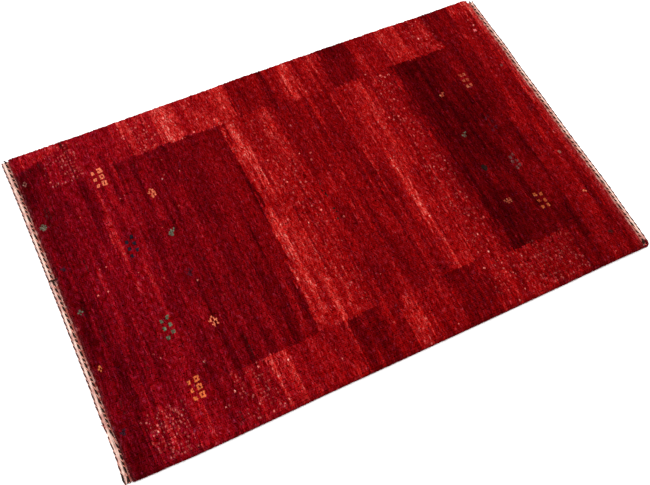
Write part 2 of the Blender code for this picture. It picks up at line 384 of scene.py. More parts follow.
# Where the near selvedge turns round the end of the right heading: in from the right end, and in
# from the near side
Turn = namedtuple("Turn", "inset across")
SELVEDGE_TURN = (
    Turn(0.0150, 0.0026), Turn(0.0100, 0.0022), Turn(0.0068, 0.0026), Turn(0.0046, 0.0042),
    Turn(0.0038, 0.0066), Turn(0.0042, 0.0096), Turn(0.0052, 0.0122),
)
# Knots and loose tips of the cords: their yarn and its radius, and points in from the end, in from
# the near side and up
CordKnot = namedtuple("CordKnot", "side yarn radius points")
CORD_KNOTS = {
    "cross_knot": CordKnot("left", "brown", 0.00130, (
        (0.0008, 0.3520, 0.0026), (0.0032, 0.3522, 0.0036), (0.0062, 0.3512, 0.0044),
        (0.0094, 0.3498, 0.0056), (0.0124, 0.3484, 0.0090), (0.0150, 0.3476, 0.0108),
    )),
    "near_left_outer_tip": CordKnot("left", "brown", 0.00125, (
        (0.0012, 0.0170, 0.0024), (0.0008, 0.0125, 0.0025), (0.0006, 0.0085, 0.0025),
        (0.0010, 0.0058, 0.0022),
    )),
    "near_left_inner_tip": CordKnot("left", "brown", 0.00125, (
        (0.0080, 0.0120, 0.0032), (0.0074, 0.0085, 0.0030), (0.0062, 0.0052, 0.0028),
        (0.0050, 0.0022, 0.0024),
    )),
    "far_left_inner_tip": CordKnot("left", "brown", 0.00105, (
        (0.0076, 0.5930, 0.0034), (0.0070, 0.5968, 0.0034), (0.0060, 0.6002, 0.0030),
    )),
    "near_right_knot": CordKnot("right", "brown", 0.00125, (
        (0.0070, 0.0165, 0.0030), (0.0078, 0.0132, 0.0032), (0.0094, 0.0112, 0.0036),
        (0.0114, 0.0104, 0.0038), (0.0118, 0.0086, 0.0040), (0.0104, 0.0076, 0.0042),
        (0.0090, 0.0086, 0.0042), (0.0092, 0.0104, 0.0044), (0.0106, 0.0108, 0.0046),
    )),
    "near_right_tick": CordKnot("right", "fleck", 0.00060, (
        (0.0112, 0.0050, 0.0050), (0.0100, 0.0040, 0.0052), (0.0088, 0.0036, 0.0050),
    )),
    "red_tuft": CordKnot("left", "scarlet", 0.00050, (
        (-0.0016, 0.0985, 0.0016), (0.0000, 0.0975, 0.0022), (0.0014, 0.0955, 0.0026),
        (0.0026, 0.0925, 0.0028),
    )),
}

MM = 0.001
EDGE_POINTS = 400
WOOL_SHEEN = 0.02
# The slow drift of a yarn's dye against its hairs, and the darkest that a yarn gets
DYE_DRIFT_SCALE = 0.23
DARKEST = 0.02
CELL_ROUNDNESS = 0.6
# How far the corners of a face reach in its cell of the texture map
CELL_REACH = 0.62
PETAL_TIP = 0.48
PETAL_SIDE = 0.27
# Least and most thickness of a tuft, and how much broader it is across the rug
TUFT_THICKNESS = (0.82, 1.14)
TUFT_BREADTH = 1.12


def millimetres(name, description, default):
    """A length that a user may change."""
    return FloatProperty(
        name=name, description=description, default=default, min=0.0, precision=5, unit="LENGTH"
    )


def share(name, description, default):
    """A share between 0 and 1 that a user may change."""
    return FloatProperty(
        name=name, description=description, default=default, min=0.0, max=1.0, subtype="FACTOR"
    )


def dye(name, description, red, green, blue):
    """A yarn colour that a user may change."""
    return FloatVectorProperty(
        name=name, description=description, default=(red, green, blue),
        min=0.0, max=1.0, size=3, subtype="COLOR",
    )


class RugSizes(bpy.types.PropertyGroup):
    """Sizes of the knots, cords and wraps"""

    knot_along: millimetres("Knot row", "Room that a row of knots takes along the rug", 0.00265)
    knot_across: millimetres("Knot width", "Room that a knot takes across the rug", 0.0033)
    tuft_radius: millimetres("Tuft radius", "Half the thickness of a cut tuft", 0.0023)
    tuft_stray: millimetres("Tuft stray", "How far a tip strays from its place", 0.0009)
    height_stray: millimetres("Height stray", "How unevenly the pile is clipped", 0.0004)
    warp_pitch: millimetres("Warp pitch", "Room between two warps of a heading", 0.00165)
    weft_pitch: millimetres("Weft pitch", "Room between two wefts of a heading", 0.0009)
    twist_pitch: millimetres("Twist pitch", "Length of one turn of a twined cord", 0.0116)
    wrap_pitch: millimetres("Wrap pitch", "Room between two wraps of an overcast side", 0.0019)
    seed: IntProperty(name="Seed", description="Start of the random draws", default=11, min=0)


class YarnColours(bpy.types.PropertyGroup):
    """Dyes of the wool"""

    oxblood: dye("Oxblood", "Blackish red of the darkest hairs", 0.018, 0.0001, 0.0005)
    maroon: dye("Maroon", "Deepest red of the field", 0.044, 0.0002, 0.0008)
    garnet: dye("Garnet", "Dark red of the field", 0.083, 0.0006, 0.0014)
    crimson: dye("Crimson", "Middle red of the field", 0.135, 0.0011, 0.0019)
    scarlet: dye("Scarlet", "Bright red of the bands", 0.204, 0.0025, 0.0031)
    poppy: dye("Poppy", "Orange-red of the brightest bands", 0.310, 0.0100, 0.0085)
    coral: dye("Coral", "Lightest hairs of the bright bands", 0.450, 0.0380, 0.0300)
    fleck: dye("Fleck", "Pale knots between the red ones", 0.620, 0.100, 0.082)
    gold: dye("Gold", "Yellow of the motifs", 0.500, 0.112, 0.054)
    amber: dye("Amber", "Orange of the motifs", 0.430, 0.088, 0.026)
    mustard: dye("Mustard", "Dull yellow of the motifs", 0.400, 0.100, 0.030)
    green: dye("Green", "Green of the motifs", 0.040, 0.095, 0.058)
    sage: dye("Sage", "Grey green of the motifs", 0.075, 0.088, 0.060)
    slate: dye("Slate", "Grey blue of the motifs", 0.075, 0.045, 0.042)
    navy: dye("Navy", "Dark blue of the motifs", 0.010, 0.008, 0.014)
    pine: dye("Pine", "Blackish green of the motifs", 0.010, 0.006, 0.005)
    fawn: dye("Fawn", "Undyed light brown of the motifs", 0.210, 0.078, 0.060)
    rose: dye("Rose", "Pink of the motifs", 0.520, 0.095, 0.100)
    soot: dye("Soot", "Dark undyed hairs in the field", 0.012, 0.0040, 0.0030)
    cream: dye("Cream", "Undyed wool of the headings", 0.830, 0.585, 0.490)
    stain: dye("Stain", "Red that has run into the headings", 0.560, 0.250, 0.210)
    blush: dye("Blush", "Muted pink beside the pile", 0.360, 0.075, 0.058)
    tan: dye("Tan", "Light yarn of the cords that close the ends", 0.500, 0.240, 0.190)
    buff: dye("Buff", "Light yarn of the twined lines", 0.590, 0.220, 0.165)
    umber: dye("Umber", "Dark yarn of the cords that close the ends", 0.060, 0.018, 0.013)
    brown: dye("Brown", "Dark yarn of the twined lines", 0.022, 0.011, 0.008)
    wine: dye("Wine", "Red of the overcast sides", 0.090, 0.0030, 0.0060)


def sizes():
    """The sizes as they are set now."""
    return bpy.context.scene.rug_sizes


def colour_of(name):
    """One dye as it is set now."""
    return tuple(getattr(bpy.context.scene.rug_colours, name))


def stray(table, shares):
    """How far an edge bows outwards at shares of its length, eased from row to row."""
    knots = np.array([row.share for row in table])
    bows = np.array([row.outwards for row in table])
    shares = np.clip(shares, 0.0, 1.0)
    low = np.clip(np.searchsorted(knots, shares, side="left") - 1, 0, len(table) - 2)
    way = (shares - knots[low]) / (knots[low + 1] - knots[low])
    return bows[low] + (bows[low + 1] - bows[low]) * way * way * (3 - 2 * way)


def uneven(points):
    """Takes points of the straight rug to where the uneven rug has them."""
    points = np.asarray(points, float)
    along = points[..., 0] / LENGTH + 0.5
    across = points[..., 1] / WIDTH + 0.5
    left = -stray(LEFT_END, across)
    right = stray(RIGHT_END, across)
    near = -stray(NEAR_SIDE, along)
    far = stray(FAR_SIDE, along)
    moved = points.copy()
    moved[..., 0] += left + (right - left) * along
    moved[..., 1] += near + (far - near) * across
    return moved


def middle_of_frame():
    """How far the frame moved the uneven rug, so that its box stands over the origin."""
    cord_low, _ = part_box("edge_cord_left")
    ends = HEADING_ENDS["edge_cord_left"]
    across = np.linspace(-WIDTH / 2 + ends.of_near, WIDTH / 2 - ends.of_far, EDGE_POINTS)
    edge = np.stack([np.full(EDGE_POINTS, -LENGTH / 2), across, np.zeros(EDGE_POINTS)], axis=-1)
    shift_x = cord_low.x - uneven(edge)[:, 0].min()
    side_low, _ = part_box("selvedge_near")
    start = -LENGTH / 2 + HEADING_LEFT
    along = np.linspace(start, LENGTH / 2 - CORD_WIDE, EDGE_POINTS)
    edge = np.stack([along, np.full(EDGE_POINTS, -WIDTH / 2), np.zeros(EDGE_POINTS)], axis=-1)
    shift_y = side_low.y - uneven(edge)[:, 1].min()
    return np.array([shift_x, shift_y, 0.0])


SHIFT = middle_of_frame()


def lie(points):
    """Takes points of the straight rug to where the frame has them."""
    return uneven(points) + SHIFT


def new_object(name, mesh):
    """Links a mesh to the scene as an object at the origin."""
    obj = bpy.data.objects.new(name, mesh)
    bpy.context.scene.collection.objects.link(obj)
    return obj


def mesh_of(name, points, faces):
    """A mesh from points and faces, smooth all over."""
    mesh = bpy.data.meshes.new(name)
    mesh.from_pydata([tuple(p) for p in points], [], [tuple(f) for f in faces])
    mesh.update()
    mesh.shade_smooth()
    return mesh


def store(mesh, name, kind, domain, values):
    """Writes an attribute of the mesh from an array."""
    layer = mesh.attributes.new(name, kind, domain)
    field = {"FLOAT_COLOR": "color", "FLOAT_VECTOR": "vector", "FLOAT": "value"}[kind]
    layer.data.foreach_set(field, np.ascontiguousarray(values, dtype=np.float32).ravel())


def faces_in_cells(mesh):
    """Lays each face in a cell of its own on the map that the colours are baked to."""
    count = len(mesh.polygons)
    cells = math.ceil(math.sqrt(count))
    starts = np.empty(count, np.int64)
    totals = np.empty(count, np.int64)
    mesh.polygons.foreach_get("loop_start", starts)
    mesh.polygons.foreach_get("loop_total", totals)
    face = np.repeat(np.arange(count), totals)
    turn = np.arange(len(face)) - np.repeat(starts, totals)
    angle = 2 * math.pi * (turn + 0.5) / np.repeat(totals, totals)
    centre = np.stack([face % cells + 0.5, face // cells + 0.5], axis=-1)
    corner = np.stack([np.cos(angle), np.sin(angle)], axis=-1) * CELL_REACH
    layer = mesh.uv_layers.get("OFBake") or mesh.uv_layers.new(name="OFBake")
    layer.data.foreach_set("uv", ((centre + corner) / cells).astype(np.float32).ravel())


def node(tree, kind, inputs=None, **settings):
    """Adds a node, sets it and joins or fills its inputs."""
    made = tree.nodes.new(kind)
    for name, value in settings.items():
        setattr(made, name, value)
    for key, value in (inputs or {}).items():
        if isinstance(value, bpy.types.NodeSocket):
            tree.links.new(value, made.inputs[key])
        else:
            made.inputs[key].default_value = value
    return made


def math_node(tree, operation, first, second=0.0):
    """One sum, and its result."""
    return node(tree, "ShaderNodeMath", {0: first, 1: second}, operation=operation).outputs[0]


def noise(tree, place, scale, detail, roughness=0.5):
    """How high a noise stands at a place."""
    inputs = {"Vector": place, "Scale": scale, "Detail": detail, "Roughness": roughness}
    return node(tree, "ShaderNodeTexNoise", inputs).outputs["Fac"]


def ranged(tree, value, to_min, to_max, from_min=0.0, from_max=1.0):
    """A value moved from one range to another."""
    return node(tree, "ShaderNodeMapRange", {
        "Value": value, "From Min": from_min, "From Max": from_max, "To Min": to_min, "To Max": to_max,
    }).outputs[0]


def mixed(tree, first, second, factor=1.0, blend="MIX"):
    """Two colours, mixed."""
    inputs = {"Factor": factor, 6: first, 7: second}
    return node(tree, "ShaderNodeMix", inputs, data_type="RGBA", blend_type=blend).outputs[2]


def group_in(tree, group, inputs):
    """Puts a group into a tree, and gives what it puts out."""
    return node(tree, "ShaderNodeGroup", inputs, node_tree=group).outputs


def attribute_in(tree, name):
    """What a material reads of a mesh attribute."""
    return node(tree, "ShaderNodeAttribute", attribute_name=name).outputs


def declare(tree, in_out, sockets):
    """Gives a tree its named inputs or outputs."""
    for name, kind, default in sockets:
        socket = tree.interface.new_socket(name, in_out=in_out, socket_type="NodeSocket" + kind)
        if default is not None:
            socket.default_value = default


def built_once(name, kind, inputs, outputs):
    """Lets a function fill a node tree the first time, and finds the same tree after that."""
    def with_filling(fill):
        def find():
            tree = bpy.data.node_groups.get(name)
            if tree is None:
                tree = bpy.data.node_groups.new(name, kind)
                declare(tree, "INPUT", inputs)
                declare(tree, "OUTPUT", outputs)
                results = fill(tree, tree.nodes.new("NodeGroupInput").outputs)
                out = tree.nodes.new("NodeGroupOutput")
                for result, socket in zip(results, out.inputs):
                    tree.links.new(result, socket)
            return tree
        find.__doc__ = fill.__doc__
        return find
    return with_filling


@built_once(
    "Wool Fibres", "ShaderNodeTree",
    (
        ("Yarn", "Color", (0.5, 0.5, 0.5, 1.0)),
        ("Coordinates", "Vector", None),
        ("Hair Size", "Float", 0.0006),
        ("Unevenness", "Float", 0.25),
        ("Shade", "Float", 1.0),
    ),
    (("Colour", "Color", None), ("Height", "Float", None)),
)
def wool_fibres(tree, into):
    """Shader group: the uneven dye and the fine hairs of spun wool."""
    scale = math_node(tree, "DIVIDE", 1.0, into["Hair Size"])
    hairs = noise(tree, into["Coordinates"], scale, 3.0, 0.6)
    drift = noise(tree, into["Coordinates"], math_node(tree, "MULTIPLY", scale, DYE_DRIFT_SCALE), 2.0)
    centred = math_node(tree, "SUBTRACT", math_node(tree, "ADD", hairs, drift), 1.0)
    swing = math_node(tree, "MULTIPLY", centred, into["Unevenness"])
    swing = math_node(tree, "MULTIPLY", swing, 2.0)
    # Shade is painted shade: 1 leaves the yarn as it is, lower values darken it.
    level = math_node(tree, "MULTIPLY", math_node(tree, "ADD", swing, 1.0), into["Shade"])
    level = math_node(tree, "MAXIMUM", level, DARKEST)
    grey = node(tree, "ShaderNodeCombineColor", {0: level, 1: level, 2: level}).outputs[0]
    return mixed(tree, into["Yarn"], grey, blend="MULTIPLY"), hairs


@built_once(
    "Woven Cells", "ShaderNodeTree",
    (("Coordinates", "Vector", None), ("Stagger", "Float", 0.0)),
    (("Height", "Float", None),),
)
def woven_cells(tree, into):
    """Shader group: rows of rounded cells, as knot backs or packed wefts make them."""
    parts = node(tree, "ShaderNodeSeparateXYZ", {0: into["Coordinates"]}).outputs
    column = math_node(tree, "FLOOR", parts["Y"])
    shift = math_node(tree, "MULTIPLY", math_node(tree, "FLOORED_MODULO", column, 2.0), into["Stagger"])
    rounded = []
    for place in (math_node(tree, "ADD", parts["X"], shift), parts["Y"]):
        wave = math_node(tree, "SINE", math_node(tree, "MULTIPLY", place, math.pi))
        rounded.append(math_node(tree, "POWER", math_node(tree, "ABSOLUTE", wave), CELL_ROUNDNESS))
    return (math_node(tree, "MULTIPLY", *rounded),)


def wool_material(name, roughness=0.9):
    """A new material with its shader, ready for a yarn colour and a relief."""
    material = bpy.data.materials.new(name)
    material.use_nodes = True
    tree = material.node_tree
    shader = tree.nodes["Principled BSDF"]
    looks = {
        "Roughness": roughness, "Specular IOR Level": 0.0, "Sheen Weight": WOOL_SHEEN,
        "Sheen Roughness": 0.45, "Sheen Tint": (1.0, 0.15, 0.12, 1.0),
    }
    for key, value in looks.items():
        shader.inputs[key].default_value = value
    return material, tree, shader


@built_once(
    "Stray Wisps", "ShaderNodeTree",
    (
        ("Colour", "Color", (0.5, 0.5, 0.5, 1.0)),
        ("Coordinates", "Vector", None),
        ("Width", "Float", 0.0018),
        ("Length", "Float", 0.0105),
        ("Bend", "Float", 0.015),
        ("Bend Size", "Float", 0.020),
        ("Contrast", "Float", 1.3),
        ("Warming", "Float", 3.0),
    ),
    (("Colour", "Color", None),),
)
def wisps_and_painted_highlights(tree, into):
    """Shader group: fine wisps of wool that run across the rug, lean both ways and cross the tufts."""
    drift = noise(tree, into["Coordinates"], math_node(tree, "DIVIDE", 1.0, into["Bend Size"]), 1.0)
    off = math_node(tree, "MULTIPLY", math_node(tree, "SUBTRACT", drift, 0.5), into["Bend"])
    parts = node(tree, "ShaderNodeSeparateXYZ", {0: into["Coordinates"]}).outputs
    place = node(tree, "ShaderNodeCombineXYZ", {
        0: math_node(tree, "DIVIDE", math_node(tree, "ADD", parts["X"], off), into["Width"]),
        1: math_node(tree, "DIVIDE", parts["Y"], into["Length"]),
        2: math_node(tree, "DIVIDE", parts["Z"], into["Length"]),
    })
    doubled = math_node(tree, "MULTIPLY", noise(tree, place.outputs[0], 1.0, 2.0, 0.55), 2.0)
    level = math_node(tree, "POWER", doubled, into["Contrast"])
    warmer = math_node(tree, "POWER", level, math_node(tree, "ADD", into["Warming"], 1.0))
    gains = node(tree, "ShaderNodeCombineColor", {0: level, 1: warmer, 2: warmer}).outputs[0]
    return (mixed(tree, into["Colour"], gains, blend="MULTIPLY"),)


def object_coordinates(tree, stretch):
    """Object coordinates, stretched along the way that the fibres run."""
    place = tree.nodes.new("ShaderNodeTexCoord").outputs["Object"]
    return node(tree, "ShaderNodeMapping", {"Vector": place, "Scale": stretch}).outputs[0]


def bumped(tree, shader, height, distance, strength=0.7):
    """Feeds a relief to the shader's normal."""
    bump = node(tree, "ShaderNodeBump", {"Height": height, "Distance": distance, "Strength": strength})
    tree.links.new(bump.outputs["Normal"], shader.inputs["Normal"])


def pile_material():
    """Clipped wool tufts: the yarn of each knot, darker down between its neighbours."""
    material, tree, shader = wool_material("pile wool")
    yarn = attribute_in(tree, "yarn")
    place = tree.nodes.new("ShaderNodeTexCoord").outputs["Object"]
    height = node(tree, "ShaderNodeSeparateXYZ", {0: place}).outputs["Z"]
    # Painted shade: the yarn darkens from the tips down towards the roots, where the tufts stand close.
    fibres = group_in(tree, wool_fibres(), {
        "Yarn": yarn["Color"], "Coordinates": object_coordinates(tree, (1.0, 1.0, 0.35)),
        "Hair Size": 0.0007, "Unevenness": 0.09, "Shade": ranged(tree, height, 0.83, 1.01, 0.0086, 0.0116),
    })
    # Streaks of the wool's hairs, partly painted highlight on the bright strokes.
    wisps_and_highlights = group_in(tree, wisps_and_painted_highlights(), {
        "Colour": fibres["Colour"], "Coordinates": place,
        "Warming": math_node(tree, "MULTIPLY", yarn["Alpha"], 3.0),
    })
    tree.links.new(wisps_and_highlights["Colour"], shader.inputs["Base Color"])
    bumped(tree, shader, fibres["Height"], 0.0004)
    return material


def back_material():
    """Underside of the foundation: two bumps to a knot, in the yarn of that knot."""
    material, tree, shader = wool_material("knot backs")
    cells = group_in(tree, woven_cells(), {"Coordinates": attribute_in(tree, "weave")["Vector"]})
    # Painted shade: the hollows between the woven bumps are darkened.
    fibres = group_in(tree, wool_fibres(), {
        "Yarn": attribute_in(tree, "yarn")["Color"],
        "Coordinates": object_coordinates(tree, (1.0, 1.0, 1.0)),
        "Hair Size": 0.0005, "Shade": ranged(tree, cells["Height"], 0.30, 1.0),
    })
    tree.links.new(fibres["Colour"], shader.inputs["Base Color"])
    bumped(tree, shader, cells["Height"], 0.0006)
    return material


def heading_material():
    """Weft-faced plain weave of undyed wool, stained a little by the red beside it."""
    material, tree, shader = wool_material("heading wool")
    cells = group_in(tree, woven_cells(), {
        "Coordinates": attribute_in(tree, "weave")["Vector"], "Stagger": 0.5,
    })
    cream, stain, blush = ((*colour_of(name), 1.0) for name in ("cream", "stain", "blush"))
    blots = noise(tree, object_coordinates(tree, (1.0, 0.5, 1.0)), 120.0, 3.0)
    stained = mixed(tree, cream, stain, ranged(tree, blots, 0.0, 0.95, 0.42, 0.64))
    broken = noise(tree, object_coordinates(tree, (0.3, 1.0, 1.0)), 110.0, 1.0)
    gaps = ranged(tree, broken, 1.0, 0.62, 0.44, 0.54)
    muted = math_node(tree, "MULTIPLY", attribute_in(tree, "inner")["Fac"], gaps)
    # Painted shade: the yarn darkens in the hollows between the woven cells.
    fibres = group_in(tree, wool_fibres(), {
        "Yarn": mixed(tree, stained, blush, muted),
        "Coordinates": object_coordinates(tree, (1.0, 0.4, 1.0)),
        "Hair Size": 0.0004, "Shade": ranged(tree, cells["Height"], 0.72, 1.0),
    })
    tree.links.new(fibres["Colour"], shader.inputs["Base Color"])
    bumped(tree, shader, cells["Height"], 0.0005)
    return material


def spun_material(name, colour, unevenness, stretch):
    """Yarn of a cord or of a wrap, with its fibres."""
    material, tree, shader = wool_material(name, 0.88)
    fibres = group_in(tree, wool_fibres(), {
        "Yarn": (*colour, 1.0), "Coordinates": object_coordinates(tree, stretch),
        "Hair Size": 0.0004, "Unevenness": unevenness,
    })
    tree.links.new(fibres["Colour"], shader.inputs["Base Color"])
    bumped(tree, shader, fibres["Height"], 0.0003)
    return material


def rows_over(span, spacing, fan):
    """Places of the knot rows over one side of the field: tip, root and height of each row."""
    flat = span - 2 * fan[0].tip
    walls = [row for row in fan if row.tip < fan[0].tip + spacing * 0.9]
    first = walls[-1].tip
    count = round((span - 2 * first) / spacing)
    tips = first + (span - 2 * first) * np.arange(count + 1) / count
    tips = np.concatenate([[w.tip for w in walls[:-1]], tips, [span - w.tip for w in walls[-2::-1]]])
    inset = np.minimum(tips, span - tips)
    known = np.array([row.tip for row in fan])
    lean = np.interp(inset, known, [row.root - row.tip for row in fan])
    lean = np.where(inset > known[-1], lean * np.exp(-(inset - known[-1]) / 0.005), lean)
    heights = np.interp(inset, known, [row.height for row in fan])
    roots = tips + np.where(tips < flat / 2, lean, -lean)
    return tips, roots, heights


Knots = namedtuple("Knots", "tip root x y kept")


def knot_rows():
    """Tip and root of every knot on the straight rug, on a grid of rows and columns."""
    along = LENGTH - HEADING_LEFT - HEADING_RIGHT
    tip_x, root_x, height_x = rows_over(along, sizes().knot_along, END_FAN)
    tip_y, root_y, height_y = rows_over(WIDTH, sizes().knot_across, SIDE_FAN)
    start = -LENGTH / 2 + HEADING_LEFT
    tx, ty = np.meshgrid(tip_x + start, tip_y - WIDTH / 2, indexing="ij")
    rx, ry = np.meshgrid(root_x + start, root_y - WIDTH / 2, indexing="ij")
    height = TIP_HEIGHT - np.hypot(TIP_HEIGHT - height_x[:, None], TIP_HEIGHT - height_y[None, :])
    height = np.maximum(height, 0.006)
    tip = np.stack([tx, ty, height], axis=-1)
    root = np.stack([rx, ry, np.full_like(rx, ROOT_HEIGHT)], axis=-1)
    kept = np.ones(tx.shape, bool)
    ends = {"left": start, "right": LENGTH / 2 - HEADING_RIGHT}
    for name, radius in CORNERS.items():
        side, end = name.split("_")
        from_end = (tx - ends["left"]) if end == "left" else (ends["right"] - tx)
        from_side = (ty + WIDTH / 2) if side == "near" else (WIDTH / 2 - ty)
        outside = (from_end < radius) & (from_side < radius)
        kept &= ~(outside & (np.hypot(radius - from_end, radius - from_side) > radius - 0.0008))
    return Knots(tip, root, (tx - PLAN_LEFT) / MM, (ty - PLAN_NEAR) / MM, kept)


def border_at(table, along):
    """Where a border between two lanes runs, at places along the rug."""
    until = np.array([row.until for row in table])
    across = np.array([row.across for row in table], float)
    return across[np.clip(np.searchsorted(until, along), 0, len(table) - 1)]


def lane_tones(table, along, way):
    """Tone, flecks and band of one lane. way runs from 0 at its near border to 1 at its far one."""
    near = np.array([row.near for row in table], float)
    far = np.array([row.far for row in table], float)
    edges = near + (far - near) * way[..., None]
    index = (along[..., None] > edges).sum(axis=-1).clip(0, len(table) - 1)
    tones = np.array([row.tone for row in table], float)[index]
    flecks = np.array([row.flecks for row in table])[index]
    return tones, flecks, index


def runs(draw, shape, shortest, longest, widest):
    """A value for each knot that holds over a run of knots, in bundles of a few rows."""
    values = np.empty(shape)
    row = 0
    while row < shape[0]:
        deep = int(draw.integers(1, widest + 1))
        place = -int(draw.integers(longest))
        while place < shape[1]:
            length = int(draw.integers(shortest, longest + 1))
            values[row:row + deep, max(place, 0):max(place + length, 0)] = draw.normal()
            place += length
        row += deep
    return values


def cloud(draw, shape, cell_rows, cell_columns):
    """Slow drift of the tone over the field."""
    coarse = draw.normal(size=(shape[0] // cell_rows + 2, shape[1] // cell_columns + 2))
    rows = np.arange(shape[0]) / cell_rows
    columns = np.arange(shape[1]) / cell_columns
    half = np.array([np.interp(rows, np.arange(coarse.shape[0]), column) for column in coarse.T])
    return np.array([np.interp(columns, np.arange(coarse.shape[1]), row) for row in half.T])


def soft_step(value, low, high, edge):
    """1 between low and high, falling to 0 over edge on both sides."""
    rise = np.clip((value - low) / edge + 0.5, 0, 1)
    fall = np.clip((high - value) / edge + 0.5, 0, 1)
    return rise * fall


def first_of(places, middle, count):
    """The first of count knots in a row that are centred on a place."""
    middles = [places[k:k + count].mean() for k in range(len(places) - count + 1)]
    return int(np.abs(np.array(middles) - middle).argmin())


def place_chart(yarns, knots, chart, x, y, colour, strength):
    """Knots one charted motif with its middle at x, y."""
    colour = np.array((*colour, 0.0))
    rows = CHARTS[chart]
    first_row = first_of(knots.x[:, 0], x, len(rows[0]))
    top_column = first_of(knots.y[0], y, len(rows)) + len(rows) - 1
    for down, line in enumerate(rows):
        for right, mark in enumerate(line):
            if mark == "#":
                knot = first_row + right, top_column - down
                yarns[knot] += (colour - yarns[knot]) * strength


def lane_layout(x, y):
    """Tone, share of pale knots and band of every knot, from the lane that it lies in."""
    near_border = border_at(NEAR_BORDER, x)
    far_border = border_at(FAR_BORDER, x)
    lanes = (
        (NEAR_LANE, y < near_border, y / near_border),
        (MIDDLE_LANE, (y >= near_border) & (y < far_border), (y - near_border) / (far_border - near_border)),
        (FAR_LANE, y >= far_border, (y - far_border) / (PLAN_FAR - far_border)),
    )
    tone = np.zeros(x.shape)
    flecks = np.zeros(x.shape)
    bands = np.zeros(x.shape, int)
    for lane, (table, inside, way) in enumerate(lanes):
        tones, share_of_flecks, index = lane_tones(table, x, way)
        tone = np.where(inside, tones, tone)
        flecks = np.where(inside, share_of_flecks, flecks)
        bands = np.where(inside, index + BANDS_A_LANE * lane, bands)
    for patch in PATCHES:
        edge = min(6.0, 0.6 * (patch.right - patch.left))
        inside = soft_step(x, patch.left, patch.right, edge) * soft_step(y, patch.near, patch.far, 14)
        tone += inside * patch.change
        flecks += inside * patch.flecks
    return tone, flecks, bands


def tone_drift(draw, bands):
    """How the dye drifts from knot to knot. Each band keeps its own tone on average."""
    drift = CLOUD_DRIFT * cloud(draw, bands.shape, 7, 16)
    for row in DRIFTS:
        drift += row.amount * runs(draw, bands.shape, row.shortest, row.longest, row.widest)
    drift += KNOT_DRIFT * draw.normal(size=bands.shape)
    most = BANDS_A_LANE * LANES
    totals = np.bincount(bands.ravel(), drift.ravel(), minlength=most)
    counts = np.bincount(bands.ravel(), minlength=most).clip(1)
    return drift - (totals / counts)[bands]


def pale_knots(draw, knots, flecks):
    """How strongly each knot is a pale one, strewn over the field or set in a speckled block."""
    shape = flecks.shape
    thick = np.clip(1.0 + 0.9 * cloud(draw, shape, 3, 3), 0.1, 3.0)
    pale = draw.random(shape) < flecks * thick * 0.2
    odd = (np.arange(shape[0])[:, None] % 2) * (np.arange(shape[1])[None, :] % 2)
    gain = np.zeros(shape)
    for block in SPECKLES:
        inside = soft_step(knots.x, block.left, block.right, 5) * soft_step(knots.y, block.near, block.far, 5)
        chosen = draw.random(shape) < inside * block.share * np.where(odd, 1.0, LOOSE_SPECKLE)
        gain = np.where(chosen, block.strength * draw.uniform(0.35, 1.2, size=shape), gain)
    return np.maximum(gain, pale * draw.uniform(0.15, 0.8, size=shape))


def knot_motifs(yarns, knots):
    """Knots the single motifs and the groups of squares."""
    for motif in MOTIFS:
        place_chart(yarns, knots, motif.chart, motif.x, motif.y, colour_of(motif.yarn), motif.strength)
    for group in GROUPS:
        colour = colour_of(group.yarn)
        for chart, side in ((group.left_chart, -0.5), (group.right_chart, 0.5)):
            for step in (-1, 0, 1):
                x = group.x + side * group.pitch_x
                y = group.y + step * group.pitch_y + side * group.skew
                place_chart(yarns, knots, chart, x, y, colour, group.strength)


def knot_yarns(knots):
    """The colour of every knot: bands, patches, streaks, flecks and motifs."""
    draw = np.random.default_rng(sizes().seed)
    shape = knots.x.shape
    x = knots.x + EDGE_STRAY * runs(draw, shape, 4, 22, 1).clip(-1.8, 1.8)
    y = knots.y + ROW_STRAY * draw.normal(size=(shape[0], 1)).clip(-1.5, 1.5)
    tone, flecks, bands = lane_layout(x, y)
    slant = CORNER_PATCH_LOW + CORNER_PATCH_SLOPE * knots.x
    light = np.clip((knots.y - slant) / CORNER_PATCH_EDGE + 0.5, 0, 1) * (knots.x < CORNER_PATCH_REACH)
    tone += (np.interp(knots.x, CORNER_PATCH_STARTS, CORNER_PATCH_TONES) - tone) * light
    tone += tone_drift(draw, bands) + 1.0
    dyes = np.array([colour_of(name) for name in RED_YARNS])
    steps = np.array(RED_STEPS)
    yarns = np.stack([np.interp(tone, steps, dyes[:, c]) for c in range(3)], axis=-1)
    glint = np.exp(0.5 * draw.normal(size=shape) - 0.1)[..., None]
    yarns = yarns + yarns * (0.0, 1.0, 1.0) * (glint - 1.0)
    yarns[..., 2] += np.interp(x, BLUER_UNTIL, BLUER_BY) * np.clip(tone / 60 + 0.2, 0.2, 1.2)
    fuzz = np.clip((FUZZ_LEFT - knots.x) / 6, 0, 1) + np.clip((knots.x - FUZZ_RIGHT) / 8, 0, 1)
    yarns[..., 1:] += FUZZ * fuzz[..., None]
    strength = pale_knots(draw, knots, flecks)[..., None]
    fleck = np.array(colour_of("fleck")) * (0.55 + np.clip(tone, 0, 100) / 180)[..., None]
    yarns = yarns + (fleck - yarns) * strength
    # The fourth value is how far the yarn's hue may shift with the light: 1 in the reds, 0 in a motif
    yarns = np.concatenate([yarns, np.ones((*shape, 1))], axis=-1)
    knot_motifs(yarns, knots)
    soot = np.array(colour_of("soot"))
    for mark in MARKS:
        row = int(np.abs(knots.x[:, 0] - mark.x).argmin())
        along = (knots.y[row] > mark.y) & (knots.y[row] < mark.y + mark.long)
        along &= draw.random(shape[1]) < 0.75
        yarns[row, along, :3] += (soot - yarns[row, along, :3]) * mark.strength
    yarns[..., :3] *= np.exp(0.05 * draw.normal(size=shape))[..., None]
    return np.clip(yarns, 0.0, 1.0)


